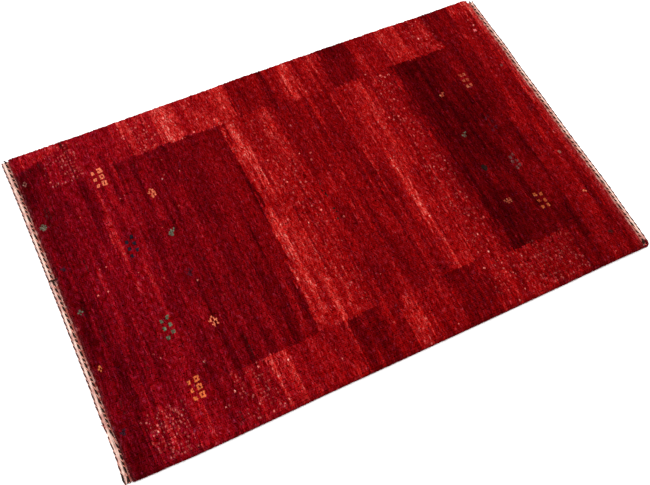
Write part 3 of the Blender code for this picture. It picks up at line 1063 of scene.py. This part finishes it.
def tuft_mesh():
    """One tuft of unit size: tied at the origin, widest near its top, cut at 1 along Z."""
    ring = [2 * math.pi * side / TUFT_SIDES for side in range(TUFT_SIDES)]
    points = [(0, 0, 0)] + [(math.cos(a), math.sin(a), TUFT_WAIST) for a in ring] + [(0, 0, 1)]
    top = TUFT_SIDES + 1
    faces = []
    for side in range(TUFT_SIDES):
        this, after = side + 1, (side + 1) % TUFT_SIDES + 1
        faces += [(0, after, this), (this, after, top)]
    mesh = mesh_of("tuft", points, faces)
    layer = mesh.uv_layers.new(name="OFBake")
    step = 2 * math.pi / TUFT_SIDES
    for side in range(TUFT_SIDES):
        low, high = side * step, (side + 1) * step
        petal = {
            0: (PETAL_TIP, (low + high) / 2),
            side + 1: (PETAL_SIDE, low),
            (side + 1) % TUFT_SIDES + 1: (PETAL_SIDE, high),
            top: (0.0, 0.0),
        }
        for face in (mesh.polygons[2 * side], mesh.polygons[2 * side + 1]):
            for loop in face.loop_indices:
                out, angle = petal[mesh.loops[loop].vertex_index]
                layer.data[loop].uv = (0.5 + out * math.cos(angle), 0.5 + out * math.sin(angle))
    return mesh


def vector_math(tree, operation, first, second):
    """A sum of two vectors, or a vector scaled by a number."""
    inputs = {0: first, "Scale" if operation == "SCALE" else 1: second}
    return node(tree, "ShaderNodeVectorMath", inputs, operation=operation).outputs[0]


def stored_vector(tree, name):
    """A vector that the geometry carries."""
    return node(
        tree, "GeometryNodeInputNamedAttribute", {"Name": name}, data_type="FLOAT_VECTOR"
    ).outputs[0]


def between(tree, low, high, seed):
    """A seeded number between two others, drawn for each point."""
    inputs = {2: low, 3: high, "Seed": seed}
    return node(tree, "FunctionNodeRandomValue", inputs, data_type="FLOAT").outputs[1]


def turned_about_z(tree, rotation, angle):
    """A rotation with a turn about its own Z axis put before it."""
    turn = node(tree, "FunctionNodeAxisAngleToRotation", {"Axis": (0.0, 0.0, 1.0), "Angle": angle})
    inputs = {"Rotation": rotation, "Rotate By": turn.outputs[0]}
    return node(tree, "FunctionNodeRotateRotation", inputs, rotation_space="LOCAL").outputs[0]


def copies_on(tree, points, source, rotation, scale):
    """A copy of an object on every point."""
    made = node(tree, "GeometryNodeObjectInfo", {"Object": source}, transform_space="ORIGINAL")
    return node(tree, "GeometryNodeInstanceOnPoints", {
        "Points": points, "Instance": made.outputs["Geometry"], "Rotation": rotation, "Scale": scale,
    }).outputs[0]


def tube_along(tree, curve, sides, radius):
    """A closed tube along a curve."""
    ring = node(tree, "GeometryNodeCurvePrimitiveCircle", {"Resolution": sides, "Radius": radius})
    inputs = {"Curve": curve, "Profile Curve": ring.outputs[0], "Fill Caps": True}
    return node(tree, "GeometryNodeCurveToMesh", inputs).outputs[0]


def dressed(tree, geometry, wool):
    """The geometry in its wool."""
    inputs = {"Geometry": geometry, "Material": wool}
    return node(tree, "GeometryNodeSetMaterial", inputs).outputs[0]


@built_once(
    "Knotted Tufts", "GeometryNodeTree",
    (
        ("Knots", "Geometry", None),
        ("Tuft", "Object", None),
        ("Radius", "Float", 0.0016),
        ("Stray", "Float", 0.0009),
        ("Height Stray", "Float", 0.0006),
        ("Cell", "Float", 0.01),
        ("Seed", "Int", 0),
        ("Wool", "Material", None),
    ),
    (("Pile", "Geometry", None),),
)
def tuft_tree(tree, into):
    """Geometry Nodes: a tuft on every knot, leaning to its reach, strayed a little."""
    spread = node(tree, "ShaderNodeCombineXYZ", {0: into["Stray"], 1: into["Stray"], 2: into["Height Stray"]})
    chance = node(
        tree, "FunctionNodeRandomValue",
        {0: (-1.0, -1.0, -1.0), 1: (1.0, 1.0, 1.0), "Seed": into["Seed"]}, data_type="FLOAT_VECTOR",
    )
    strayed = vector_math(tree, "MULTIPLY", chance.outputs[0], spread.outputs[0])
    way = vector_math(tree, "ADD", stored_vector(tree, "reach"), strayed)
    tall = node(tree, "ShaderNodeVectorMath", {0: way}, operation="LENGTH").outputs["Value"]
    leaned = node(tree, "FunctionNodeAlignRotationToVector", {"Vector": way}, axis="Z").outputs[0]
    facing = turned_about_z(tree, leaned, between(tree, 0.0, 2 * math.pi, into["Seed"]))
    wide = math_node(tree, "MULTIPLY", between(tree, *TUFT_THICKNESS, into["Seed"]), into["Radius"])
    broad = math_node(tree, "MULTIPLY", wide, TUFT_BREADTH)
    scale = node(tree, "ShaderNodeCombineXYZ", {0: wide, 1: broad, 2: tall}).outputs[0]
    placed = copies_on(tree, into["Knots"], into["Tuft"], facing, scale)
    realised = node(tree, "GeometryNodeRealizeInstances", {0: placed}).outputs[0]
    within = vector_math(tree, "SCALE", stored_vector(tree, "OFBake"), into["Cell"])
    spot = vector_math(tree, "ADD", stored_vector(tree, "cell"), within)
    mapped = node(
        tree, "GeometryNodeStoreNamedAttribute", {"Geometry": realised, "Name": "OFBake", "Value": spot},
        data_type="FLOAT2", domain="CORNER",
    ).outputs[0]
    return (dressed(tree, mapped, into["Wool"]),)


@built_once(
    "Twined Cord", "GeometryNodeTree",
    (
        ("Path", "Geometry", None),
        ("Pitch", "Float", 0.0056),
        ("Half Width", "Float", 0.0006),
        ("Half Height", "Float", 0.0006),
        ("Dark Radius", "Float", 0.0008),
        ("Light Radius", "Float", 0.0007),
        ("Unevenness", "Float", 0.8),
        ("Seed", "Int", 0),
        ("Dark Wool", "Material", None),
        ("Light Wool", "Material", None),
    ),
    (("Cord", "Geometry", None),),
)
def twine_tree(tree, into):
    """Geometry Nodes: two strands, one dark and one light, wound round each other along a path."""
    line = node(tree, "GeometryNodeMeshToCurve", {0: into["Path"]}).outputs[0]
    step = math_node(tree, "MULTIPLY", into["Pitch"], TWINE_STEP)
    fine = node(tree, "GeometryNodeResampleCurve", {"Curve": line, "Length": step}, mode="LENGTH").outputs[0]
    run = node(tree, "GeometryNodeSplineParameter").outputs["Length"]
    turns = math_node(tree, "DIVIDE", run, into["Pitch"])
    wander = node(
        tree, "ShaderNodeTexNoise",
        {"W": math_node(tree, "ADD", into["Seed"], turns), "Scale": TWINE_WANDER_SCALE, "Detail": 1.0},
        noise_dimensions="1D",
    ).outputs["Fac"]
    wound = math_node(tree, "ADD", turns, math_node(tree, "MULTIPLY", wander, into["Unevenness"]))
    angle = math_node(tree, "MULTIPLY", wound, 2 * math.pi)
    strands = []
    for phase, kind in ((0.0, "Dark"), (math.pi, "Light")):
        own = math_node(tree, "ADD", angle, phase)
        offset = node(tree, "ShaderNodeCombineXYZ", {
            0: math_node(tree, "MULTIPLY", math_node(tree, "COSINE", own), into["Half Width"]),
            2: math_node(tree, "MULTIPLY", math_node(tree, "SINE", own), into["Half Height"]),
        }).outputs[0]
        moved = node(tree, "GeometryNodeSetPosition", {"Geometry": fine, "Offset": offset}).outputs[0]
        tube = tube_along(tree, moved, TWINE_SIDES, into[kind + " Radius"])
        strands.append(dressed(tree, tube, into[kind + " Wool"]))
    joined = tree.nodes.new("GeometryNodeJoinGeometry")
    for strand in reversed(strands):
        tree.links.new(strand, joined.inputs[0])
    smooth = node(tree, "GeometryNodeSetShadeSmooth", {0: joined.outputs[0]})
    return (node(tree, "GeometryNodeRealizeInstances", {0: smooth.outputs[0]}).outputs[0],)


@built_once(
    "Overcast Wraps", "GeometryNodeTree",
    (
        ("Path", "Geometry", None),
        ("Wrap", "Object", None),
        ("Pitch", "Float", 0.0019),
        ("Slant", "Float", 0.3),
        ("Unevenness", "Float", 0.12),
        ("Core Radius", "Float", 0.0019),
        ("Seed", "Int", 0),
        ("Wool", "Material", None),
    ),
    (("Side", "Geometry", None),),
)
def wrap_tree(tree, into):
    """Geometry Nodes: slanting wraps one after another along an overcast side, round their core."""
    line = node(tree, "GeometryNodeMeshToCurve", {0: into["Path"]}).outputs[0]
    spots = node(
        tree, "GeometryNodeResampleCurve", {"Curve": line, "Length": into["Pitch"]}, mode="LENGTH"
    ).outputs[0]
    tangent = tree.nodes.new("GeometryNodeInputTangent").outputs[0]
    along = node(tree, "FunctionNodeAlignRotationToVector", {"Vector": tangent}, axis="X").outputs[0]
    low = math_node(tree, "SUBTRACT", into["Slant"], into["Unevenness"])
    high = math_node(tree, "ADD", into["Slant"], into["Unevenness"])
    facing = turned_about_z(tree, along, between(tree, low, high, into["Seed"]))
    size = between(tree, *WRAP_SIZES, into["Seed"])
    placed = copies_on(tree, spots, into["Wrap"], facing, size)
    joined = tree.nodes.new("GeometryNodeJoinGeometry")
    tree.links.new(tube_along(tree, line, CORE_SIDES, into["Core Radius"]), joined.inputs[0])
    tree.links.new(placed, joined.inputs[0])
    realised = node(tree, "GeometryNodeRealizeInstances", {0: joined.outputs[0]})
    smooth = node(tree, "GeometryNodeSetShadeSmooth", {0: realised.outputs[0]})
    return (dressed(tree, smooth.outputs[0], into["Wool"]),)


def settled(name, start_mesh, tree, values, materials):
    """Runs a tree on a mesh and keeps the result as one plain mesh at the origin."""
    source = new_object(name + "_source", start_mesh)
    modifier = source.modifiers.new("Nodes", "NODES")
    modifier.node_group = tree
    for item in tree.interface.items_tree:
        if item.item_type == "SOCKET" and item.in_out == "INPUT" and item.name in values:
            modifier[item.identifier] = values[item.name]
    bpy.context.view_layer.update()
    graph = bpy.context.evaluated_depsgraph_get()
    made = bpy.data.meshes.new_from_object(source.evaluated_get(graph), depsgraph=graph)
    if not made.polygons:
        raise RuntimeError(f"{name}: the node tree made no faces")
    made.name = name
    bpy.data.objects.remove(source, do_unlink=True)
    if not made.materials:
        for material in materials:
            made.materials.append(material)
    return new_object(name, made)


def finished(obj, slot, *nodes):
    """Puts a piece on the body, in the place of its frame nodes."""
    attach(obj, BODY)
    if nodes:
        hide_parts(*nodes)


def rounded_reach(along, inset):
    """How far a row of the foundation falls short of the near and far sides at the corners."""
    left = along + LENGTH / 2 - HEADING_LEFT - GAP
    right = LENGTH / 2 - HEADING_RIGHT - GAP - along
    short = {}
    for side in ("near", "far"):
        fall = np.zeros_like(along)
        for end, distance in (("left", left), ("right", right)):
            radius = max(CORNERS[f"{side}_{end}"] - inset * 0.5, 0.0015)
            gone = np.clip(radius - distance, 0.0, radius)
            fall = np.maximum(fall, radius - np.sqrt(radius * radius - gone * gone))
        short[side] = fall
    return short["near"], short["far"]


class RUG_OT_weave_foundation(bpy.types.Operator):
    """Weave the foundation sheet, with the back of every knot on its underside"""

    bl_idname = "rug.weave_foundation"
    bl_label = "Weave Foundation"

    def execute(self, context):
        knots = knot_rows()
        yarns = knot_yarns(knots)
        inner = slice(1, -1), slice(2, -2)
        colours = yarns[inner][..., :3]
        rows, columns = colours.shape[:2]
        along = np.linspace(
            -LENGTH / 2 + HEADING_LEFT + GAP, LENGTH / 2 - HEADING_RIGHT - GAP, rows + 1
        )
        inset = SELVEDGE_WIDE + GAP
        near_short, far_short = rounded_reach(along, inset)
        share_across = np.linspace(0.0, 1.0, columns + 1)
        near = -WIDTH / 2 + inset + near_short
        far = WIDTH / 2 - inset - far_short
        across = near[:, None] + (far - near)[:, None] * share_across[None, :]
        flat = np.stack([np.broadcast_to(along[:, None], across.shape), across], axis=-1)
        bottom = np.concatenate([flat, np.zeros((*across.shape, 1))], axis=-1)
        count = bottom.shape[0] * bottom.shape[1]
        index = np.arange(count).reshape(bottom.shape[:2])
        quads = np.stack([index[:-1, :-1], index[:-1, 1:], index[1:, 1:], index[1:, :-1]], axis=-1)
        top = bottom.copy()
        top[..., 2] = FOUNDATION_TOP
        ring = np.concatenate([index[:-1, 0], index[-1, :-1], index[:0:-1, -1], index[0, :0:-1]])
        points = list(bottom.reshape(-1, 3)) + list(top.reshape(-1, 3)[ring])
        faces = [tuple(q) for q in quads.reshape(-1, 4)]
        upper = {int(v): count + k for k, v in enumerate(ring)}
        for k, v in enumerate(ring):
            after = ring[(k + 1) % len(ring)]
            faces.append((int(v), int(after), upper[int(after)], upper[int(v)]))
        # The hidden top is a fan of coarse strips between the two long sides
        near_rim = [upper[int(v)] for v in index[:, 0]]
        far_rim = [upper[int(v)] for v in index[:, -1]]
        left_rim = [upper[int(v)] for v in index[0, 1:-1]]
        right_rim = [upper[int(v)] for v in index[-1, 1:-1]]
        for k in range(1, rows - 1):
            faces.append((near_rim[k], near_rim[k + 1], far_rim[k + 1], far_rim[k]))
        faces.append(tuple([near_rim[0], near_rim[1], far_rim[1], far_rim[0]] + left_rim[::-1]))
        last = [near_rim[rows - 1], near_rim[rows]] + right_rim + [far_rim[rows], far_rim[rows - 1]]
        faces.append(tuple(last))
        points = lie(np.array(points))
        mesh = mesh_of("foundation_sheet", points, faces)
        corner_colours = np.ones((len(mesh.loops), 4), np.float32)
        corner_colours[:, :3] = colour_of("garnet")
        corner_colours[: rows * columns * 4, :3] = np.repeat(colours.reshape(-1, 3) * 0.9, 4, axis=0)
        store(mesh, "yarn", "FLOAT_COLOR", "CORNER", corner_colours)
        weave = np.zeros((len(points), 3))
        grid = np.stack(np.meshgrid(np.arange(rows + 1), np.arange(columns + 1) * 2, indexing="ij"), axis=-1)
        weave[:count, :2] = grid.reshape(-1, 2)
        weave[count:, :2] = grid.reshape(-1, 2)[ring]
        store(mesh, "weave", "FLOAT_VECTOR", "POINT", weave)
        faces_in_cells(mesh)
        mesh.materials.append(back_material())
        obj = new_object("foundation_sheet", mesh)
        finished(obj, "pile_wool", "pile_field")
        return {"FINISHED"}


class RUG_OT_knot_pile(bpy.types.Operator):
    """Tie a clipped tuft on every knot of the foundation, in its own yarn"""

    bl_idname = "rug.knot_pile"
    bl_label = "Knot Pile"

    def execute(self, context):
        knots = knot_rows()
        yarns = knot_yarns(knots)
        tips = lie(knots.tip)
        roots = lie(knots.root)
        wool = pile_material()
        tuft = new_object("tuft_source", tuft_mesh())
        cuts = np.linspace(0, tips.shape[1], PILE_SECTIONS + 1).round().astype(int)
        for number, (low, high) in enumerate(zip(cuts, cuts[1:]), start=1):
            kept = knots.kept[:, low:high]
            root = roots[:, low:high][kept]
            reach = tips[:, low:high][kept] - root
            cells = math.ceil(math.sqrt(len(root)))
            order = np.arange(len(root))
            cell = np.stack([order % cells, order // cells, np.zeros(len(root))], axis=-1) / cells
            start = mesh_of("knots", root, [])
            store(start, "reach", "FLOAT_VECTOR", "POINT", reach)
            store(start, "cell", "FLOAT_VECTOR", "POINT", cell)
            store(start, "yarn", "FLOAT_COLOR", "POINT", yarns[:, low:high][kept])
            values = {
                "Tuft": tuft, "Radius": sizes().tuft_radius, "Stray": sizes().tuft_stray,
                "Height Stray": sizes().height_stray, "Cell": 1.0 / cells,
                "Seed": sizes().seed + number, "Wool": wool,
            }
            obj = settled(f"pile_section_{number}", start, tuft_tree(), values, [wool])
            finished(obj, "pile_wool", "pile_field")
        bpy.data.objects.remove(tuft, do_unlink=True)
        return {"FINISHED"}


class RUG_OT_weave_headings(bpy.types.Operator):
    """Weave the flat headings at both ends of the rug"""

    bl_idname = "rug.weave_headings"
    bl_label = "Weave Headings"

    def execute(self, context):
        cream = heading_material()
        for side in ("left", "right"):
            way = 1 if side == "left" else -1
            edge = -way * LENGTH / 2
            reach = HEADING_LEFT if side == "left" else HEADING_RIGHT
            outer = OUTER_INSETS[side]
            line_low = LINE_INSETS[side] - LINE_WIDE / 2
            line_high = line_low + LINE_WIDE
            section = (
                (outer, 0.0), (reach, 0.0), (reach, HEADING_THICK),
                ((reach + line_high) / 2, HEADING_THICK), (line_high, HEADING_THICK - HEADING_EASE),
                (line_high - HEADING_EASE, CHANNEL_FLOOR), (line_low + HEADING_EASE, CHANNEL_FLOOR),
                (line_low, HEADING_THICK - HEADING_EASE), ((outer + line_low) / 2, HEADING_THICK),
                (outer, HEADING_THICK - HEADING_EDGE_EASE),
            )
            ends = HEADING_ENDS[f"heading_{side}"]
            start = -WIDTH / 2 + ends.of_near
            stop = WIDTH / 2 - ends.of_far
            pitch = sizes().warp_pitch
            count = round((stop - start) / pitch) * STEPS_A_WARP
            places = np.linspace(start, stop, count + 1)
            rib = WARP_LIFT * np.cos(2 * math.pi * np.arange(count + 1) / STEPS_A_WARP)
            points = []
            weave = []
            inner = []
            for place, lift in zip(places, rib):
                for inset, z in section:
                    raised = z + lift if z > CHANNEL_FLOOR else z
                    points.append((edge + way * inset, place, max(raised, 0.0)))
                    weave.append((inset / sizes().weft_pitch, (place - start) / pitch, 0.0))
                    inner.append(1.0 if inset >= line_high else 0.0)
            size = len(section)
            faces = []
            for ring in range(count):
                for k in range(size):
                    a, b = ring * size + k, ring * size + (k + 1) % size
                    quad = (a, b, b + size, a + size)
                    faces.append(quad if way < 0 else quad[::-1])
            first = tuple(range(size))
            last = tuple(count * size + k for k in range(size))
            faces.append(first if way > 0 else first[::-1])
            faces.append(last[::-1] if way > 0 else last)
            mesh = mesh_of(f"{side}_heading", lie(np.array(points)), faces)
            store(mesh, "weave", "FLOAT_VECTOR", "POINT", np.array(weave))
            store(mesh, "inner", "FLOAT", "POINT", np.array(inner))
            faces_in_cells(mesh)
            mesh.materials.append(cream)
            obj = new_object(f"{side}_heading", mesh)
            finished(obj, "heading_wool", f"heading_{side}")
        return {"FINISHED"}


def path_mesh(name, *lines):
    """A mesh of open lines of edges."""
    points = []
    edges = []
    for line in lines:
        edges += [(len(points) + k, len(points) + k + 1) for k in range(len(line) - 1)]
        points += [tuple(p) for p in line]
    mesh = bpy.data.meshes.new(name)
    mesh.from_pydata(points, edges, [])
    return mesh


def twined(name, path, half_wide, half_high, dark_radius, light_radius, seed, dark, light):
    """A cord of two strands that are wound round each other along a path."""
    values = {
        "Pitch": sizes().twist_pitch, "Half Width": half_wide, "Half Height": half_high,
        "Dark Radius": dark_radius, "Light Radius": light_radius, "Unevenness": CORD_UNEVENNESS,
        "Seed": seed, "Dark Wool": dark, "Light Wool": light,
    }
    obj = settled(name, path, twine_tree(), values, [dark, light])
    faces_in_cells(obj.data)
    return obj


class RUG_OT_twine_cords(bpy.types.Operator):
    """Twine the two-coloured cords that close and cross the headings"""

    bl_idname = "rug.twine_cords"
    bl_label = "Twine Cords"

    def execute(self, context):
        along = (1.0, 0.4, 1.0)
        wools = {
            "edge_cord": (
                spun_material("dark edge wool", colour_of("umber"), 0.30, along),
                spun_material("light edge wool", colour_of("tan"), 0.25, along),
            ),
            "twined_line": (
                spun_material("dark line wool", colour_of("brown"), 0.30, along),
                spun_material("light line wool", colour_of("buff"), 0.30, along),
            ),
        }
        number = 0
        for side in ("left", "right"):
            way = 1 if side == "left" else -1
            edge = -way * LENGTH / 2
            for piece, (dark, light) in wools.items():
                lay = CORD_LAYS[f"{side}_{piece}"]
                number += 1
                ends = HEADING_ENDS[f"{piece}_{side}"]
                across = np.linspace(ends.of_near, WIDTH - ends.of_far, CORD_POINTS)
                table = CORD_WANDERS.get(f"{side}_{piece}", STRAIGHT)
                inwards = np.interp(across, [w.across for w in table], [w.inwards for w in table])
                heights = np.full(CORD_POINTS, lay.height)
                line = np.stack([edge + way * (lay.inset + inwards), across - WIDTH / 2, heights], axis=-1)
                lines = [lie(line)]
                if piece == "edge_cord" and side == "left":
                    low, high = WORN_THROUGH
                    lines = [lie(line[across < low]), lie(line[across > high])]
                path = path_mesh(f"{piece}_path", *lines)
                seed = CORD_SEED_STEP * number
                obj = twined(
                    f"{side}_{piece}", path, lay.wide, lay.high, lay.dark, lay.light, seed, dark, light
                )
                finished(obj, "twined_wool", f"{piece}_{side}")
        for name, knot in CORD_KNOTS.items():
            way = 1 if knot.side == "left" else -1
            line = [
                (way * (inset - LENGTH / 2), across - WIDTH / 2, up) for inset, across, up in knot.points
            ]
            wool = wools["twined_line"][0]
            if knot.yarn != "brown":
                wool = spun_material(f"{knot.yarn} tuft wool", colour_of(knot.yarn), 0.30, along)
            spread = 0.35 * knot.radius
            path = path_mesh(f"{name}_path", lie(np.array(line)))
            thin = 0.8 * knot.radius
            obj = twined(name, path, spread, spread, knot.radius, thin, CORD_KNOT_SEED, wool, wool)
            finished(obj, "twined_wool")
        return {"FINISHED"}


def wrap_mesh():
    """One wrap of yarn round the side cord: a flattened ring that crosses the X axis."""
    half_wide = SELVEDGE_WIDE / 2
    half_high = SELVEDGE_HIGH / 2
    points = []
    for step in range(WRAP_STEPS):
        turn = 2 * math.pi * step / WRAP_STEPS
        for k in range(WRAP_SIDES):
            own = 2 * math.pi * k / WRAP_SIDES
            out = 1 - (WRAP_THICK / half_wide) * (1 - math.cos(own))
            points.append((
                WRAP_BROAD * math.sin(own),
                half_wide * out * math.cos(turn),
                half_high * out * math.sin(turn),
            ))
    faces = []
    for step in range(WRAP_STEPS):
        for k in range(WRAP_SIDES):
            a = step * WRAP_SIDES + k
            b = step * WRAP_SIDES + (k + 1) % WRAP_SIDES
            c = ((step + 1) % WRAP_STEPS) * WRAP_SIDES + (k + 1) % WRAP_SIDES
            d = ((step + 1) % WRAP_STEPS) * WRAP_SIDES + k
            faces.append((a, d, c, b))
    return mesh_of("wrap", points, faces)


class RUG_OT_overcast_sides(bpy.types.Operator):
    """Overcast the two long sides with wraps of wool"""

    bl_idname = "rug.overcast_sides"
    bl_label = "Overcast Sides"

    def execute(self, context):
        wool = spun_material("overcast wool", colour_of("wine"), 0.35, (1.0, 1.0, 1.0))
        wrap = new_object("wrap_source", wrap_mesh())
        for side, number in (("near", 1), ("far", 2)):
            way = 1 if side == "far" else -1
            start = -LENGTH / 2 + HEADING_LEFT + SELVEDGE_SHORT
            places = np.linspace(start, LENGTH / 2 - HEADING_RIGHT - SELVEDGE_SHORT, SELVEDGE_POINTS)
            middle = way * (WIDTH / 2 - SELVEDGE_WIDE / 2)
            up = SELVEDGE_HIGH / 2
            line = np.stack([places, np.full(SELVEDGE_POINTS, middle), np.full(SELVEDGE_POINTS, up)], axis=-1)
            if side == "near":
                turn = [(LENGTH / 2 - t.inset, t.across - WIDTH / 2, up) for t in SELVEDGE_TURN]
                line = np.concatenate([line, turn])
            values = {
                "Wrap": wrap, "Pitch": sizes().wrap_pitch, "Slant": WRAP_SLANT * way,
                "Unevenness": WRAP_SLANT_STRAY, "Core Radius": WRAP_CORE, "Seed": number, "Wool": wool,
            }
            path = path_mesh("side_path", lie(line))
            obj = settled(f"{side}_selvedge", path, wrap_tree(), values, [wool])
            faces_in_cells(obj.data)
            finished(obj, "selvedge_wool", f"selvedge_{side}")
        bpy.data.objects.remove(wrap, do_unlink=True)
        return {"FINISHED"}


class RUG_OT_set_stage(bpy.types.Operator):
    """Lay the pale floor, light it softly and set the camera at the photograph's angle"""

    bl_idname = "rug.set_stage"
    bl_label = "Set Stage"

    def execute(self, context):
        scene = context.scene
        scene.view_settings.view_transform = "Standard"
        signs = ((-1, -1), (1, -1), (1, 1), (-1, 1))
        corners = [(x * FLOOR_SPAN, y * FLOOR_SPAN, FLOOR_HEIGHT) for x, y in signs]
        floor = new_object("studio_floor", mesh_of("studio_floor", corners, [(0, 1, 2, 3)]))
        paper = bpy.data.materials.new("floor paper")
        paper.use_nodes = True
        shader = paper.node_tree.nodes["Principled BSDF"]
        shader.inputs["Base Color"].default_value = (0.90, 0.90, 0.90, 1.0)
        shader.inputs["Roughness"].default_value = 0.9
        shader.inputs["Specular IOR Level"].default_value = 0.0
        floor.data.materials.append(paper)
        world = bpy.data.worlds.new("studio")
        world.use_nodes = True
        world.node_tree.nodes["Background"].inputs["Color"].default_value = (1.0, 1.0, 1.0, 1.0)
        world.node_tree.nodes["Background"].inputs["Strength"].default_value = WORLD_STRENGTH
        scene.world = world
        for row in LAMPS:
            lamp = bpy.data.lights.new(row.name, "AREA")
            lamp.shape = "SQUARE"
            lamp.size = row.size
            lamp.energy = row.power
            holder = bpy.data.objects.new(row.name, lamp)
            holder.location = row.place
            holder.rotation_euler = (-Vector(row.place)).to_track_quat("-Z", "Y").to_euler()
            scene.collection.objects.link(holder)
        camera = bpy.data.cameras.new("photo_camera")
        camera.lens = CAMERA_LENS
        camera.sensor_width = CAMERA_SENSOR
        holder = bpy.data.objects.new("photo_camera", camera)
        turn = Matrix((CAMERA_RIGHT, CAMERA_UP, CAMERA_BACK)).transposed().to_4x4()
        holder.matrix_world = Matrix.Translation(CAMERA_PLACE) @ turn
        scene.collection.objects.link(holder)
        scene.camera = holder
        return {"FINISHED"}


class RUG_OT_declare_sheet(bpy.types.Operator):
    """Say that the rug is one laid sheet, with its pile, headings, cords and sides"""

    bl_idname = "rug.declare_sheet"
    bl_label = "Declare Sheet"

    def execute(self, context):
        names = [f"pile_section_{number + 1}" for number in range(PILE_SECTIONS)]
        for side in ("left", "right"):
            names += [f"{side}_heading", f"{side}_edge_cord", f"{side}_twined_line"]
        names += ["near_selvedge", "far_selvedge", *CORD_KNOTS]
        return {"FINISHED"}


class RUG_PT_panel(bpy.types.Panel):
    """Lists the rug's sizes, colours and the steps that make it"""

    bl_idname = "RUG_PT_panel"
    bl_label = "Gabbeh Rug"
    bl_space_type = "VIEW_3D"
    bl_region_type = "UI"
    bl_category = "Gabbeh Rug"

    def draw(self, context):
        layout = self.layout
        for step in STEPS:
            layout.operator(step.bl_idname)
        for group in (context.scene.rug_sizes, context.scene.rug_colours):
            box = layout.box()
            for name in group.__annotations__:
                box.prop(group, name)


STEPS = (
    RUG_OT_weave_foundation,
    RUG_OT_knot_pile,
    RUG_OT_weave_headings,
    RUG_OT_twine_cords,
    RUG_OT_overcast_sides,
    RUG_OT_declare_sheet,
    RUG_OT_set_stage,
)
CLASSES = (RugSizes, YarnColours, *STEPS, RUG_PT_panel)


def register():
    """Adds the classes and the settings to Blender."""
    for each in CLASSES:
        bpy.utils.register_class(each)
    bpy.types.Scene.rug_sizes = PointerProperty(type=RugSizes)
    bpy.types.Scene.rug_colours = PointerProperty(type=YarnColours)


def unregister():
    """Takes the classes and the settings out again."""
    del bpy.types.Scene.rug_colours
    del bpy.types.Scene.rug_sizes
    for each in reversed(CLASSES):
        bpy.utils.unregister_class(each)


def main():
    """Makes the whole rug and notes the size of the frame and of the finished rug."""
    register()
    bpy.ops.rug.weave_foundation()
    bpy.ops.rug.knot_pile()
    bpy.ops.rug.weave_headings()
    bpy.ops.rug.twine_cords()
    bpy.ops.rug.overcast_sides()
    bpy.ops.rug.declare_sheet()
    bpy.ops.rug.set_stage()


if __name__ == "__main__":
    main()
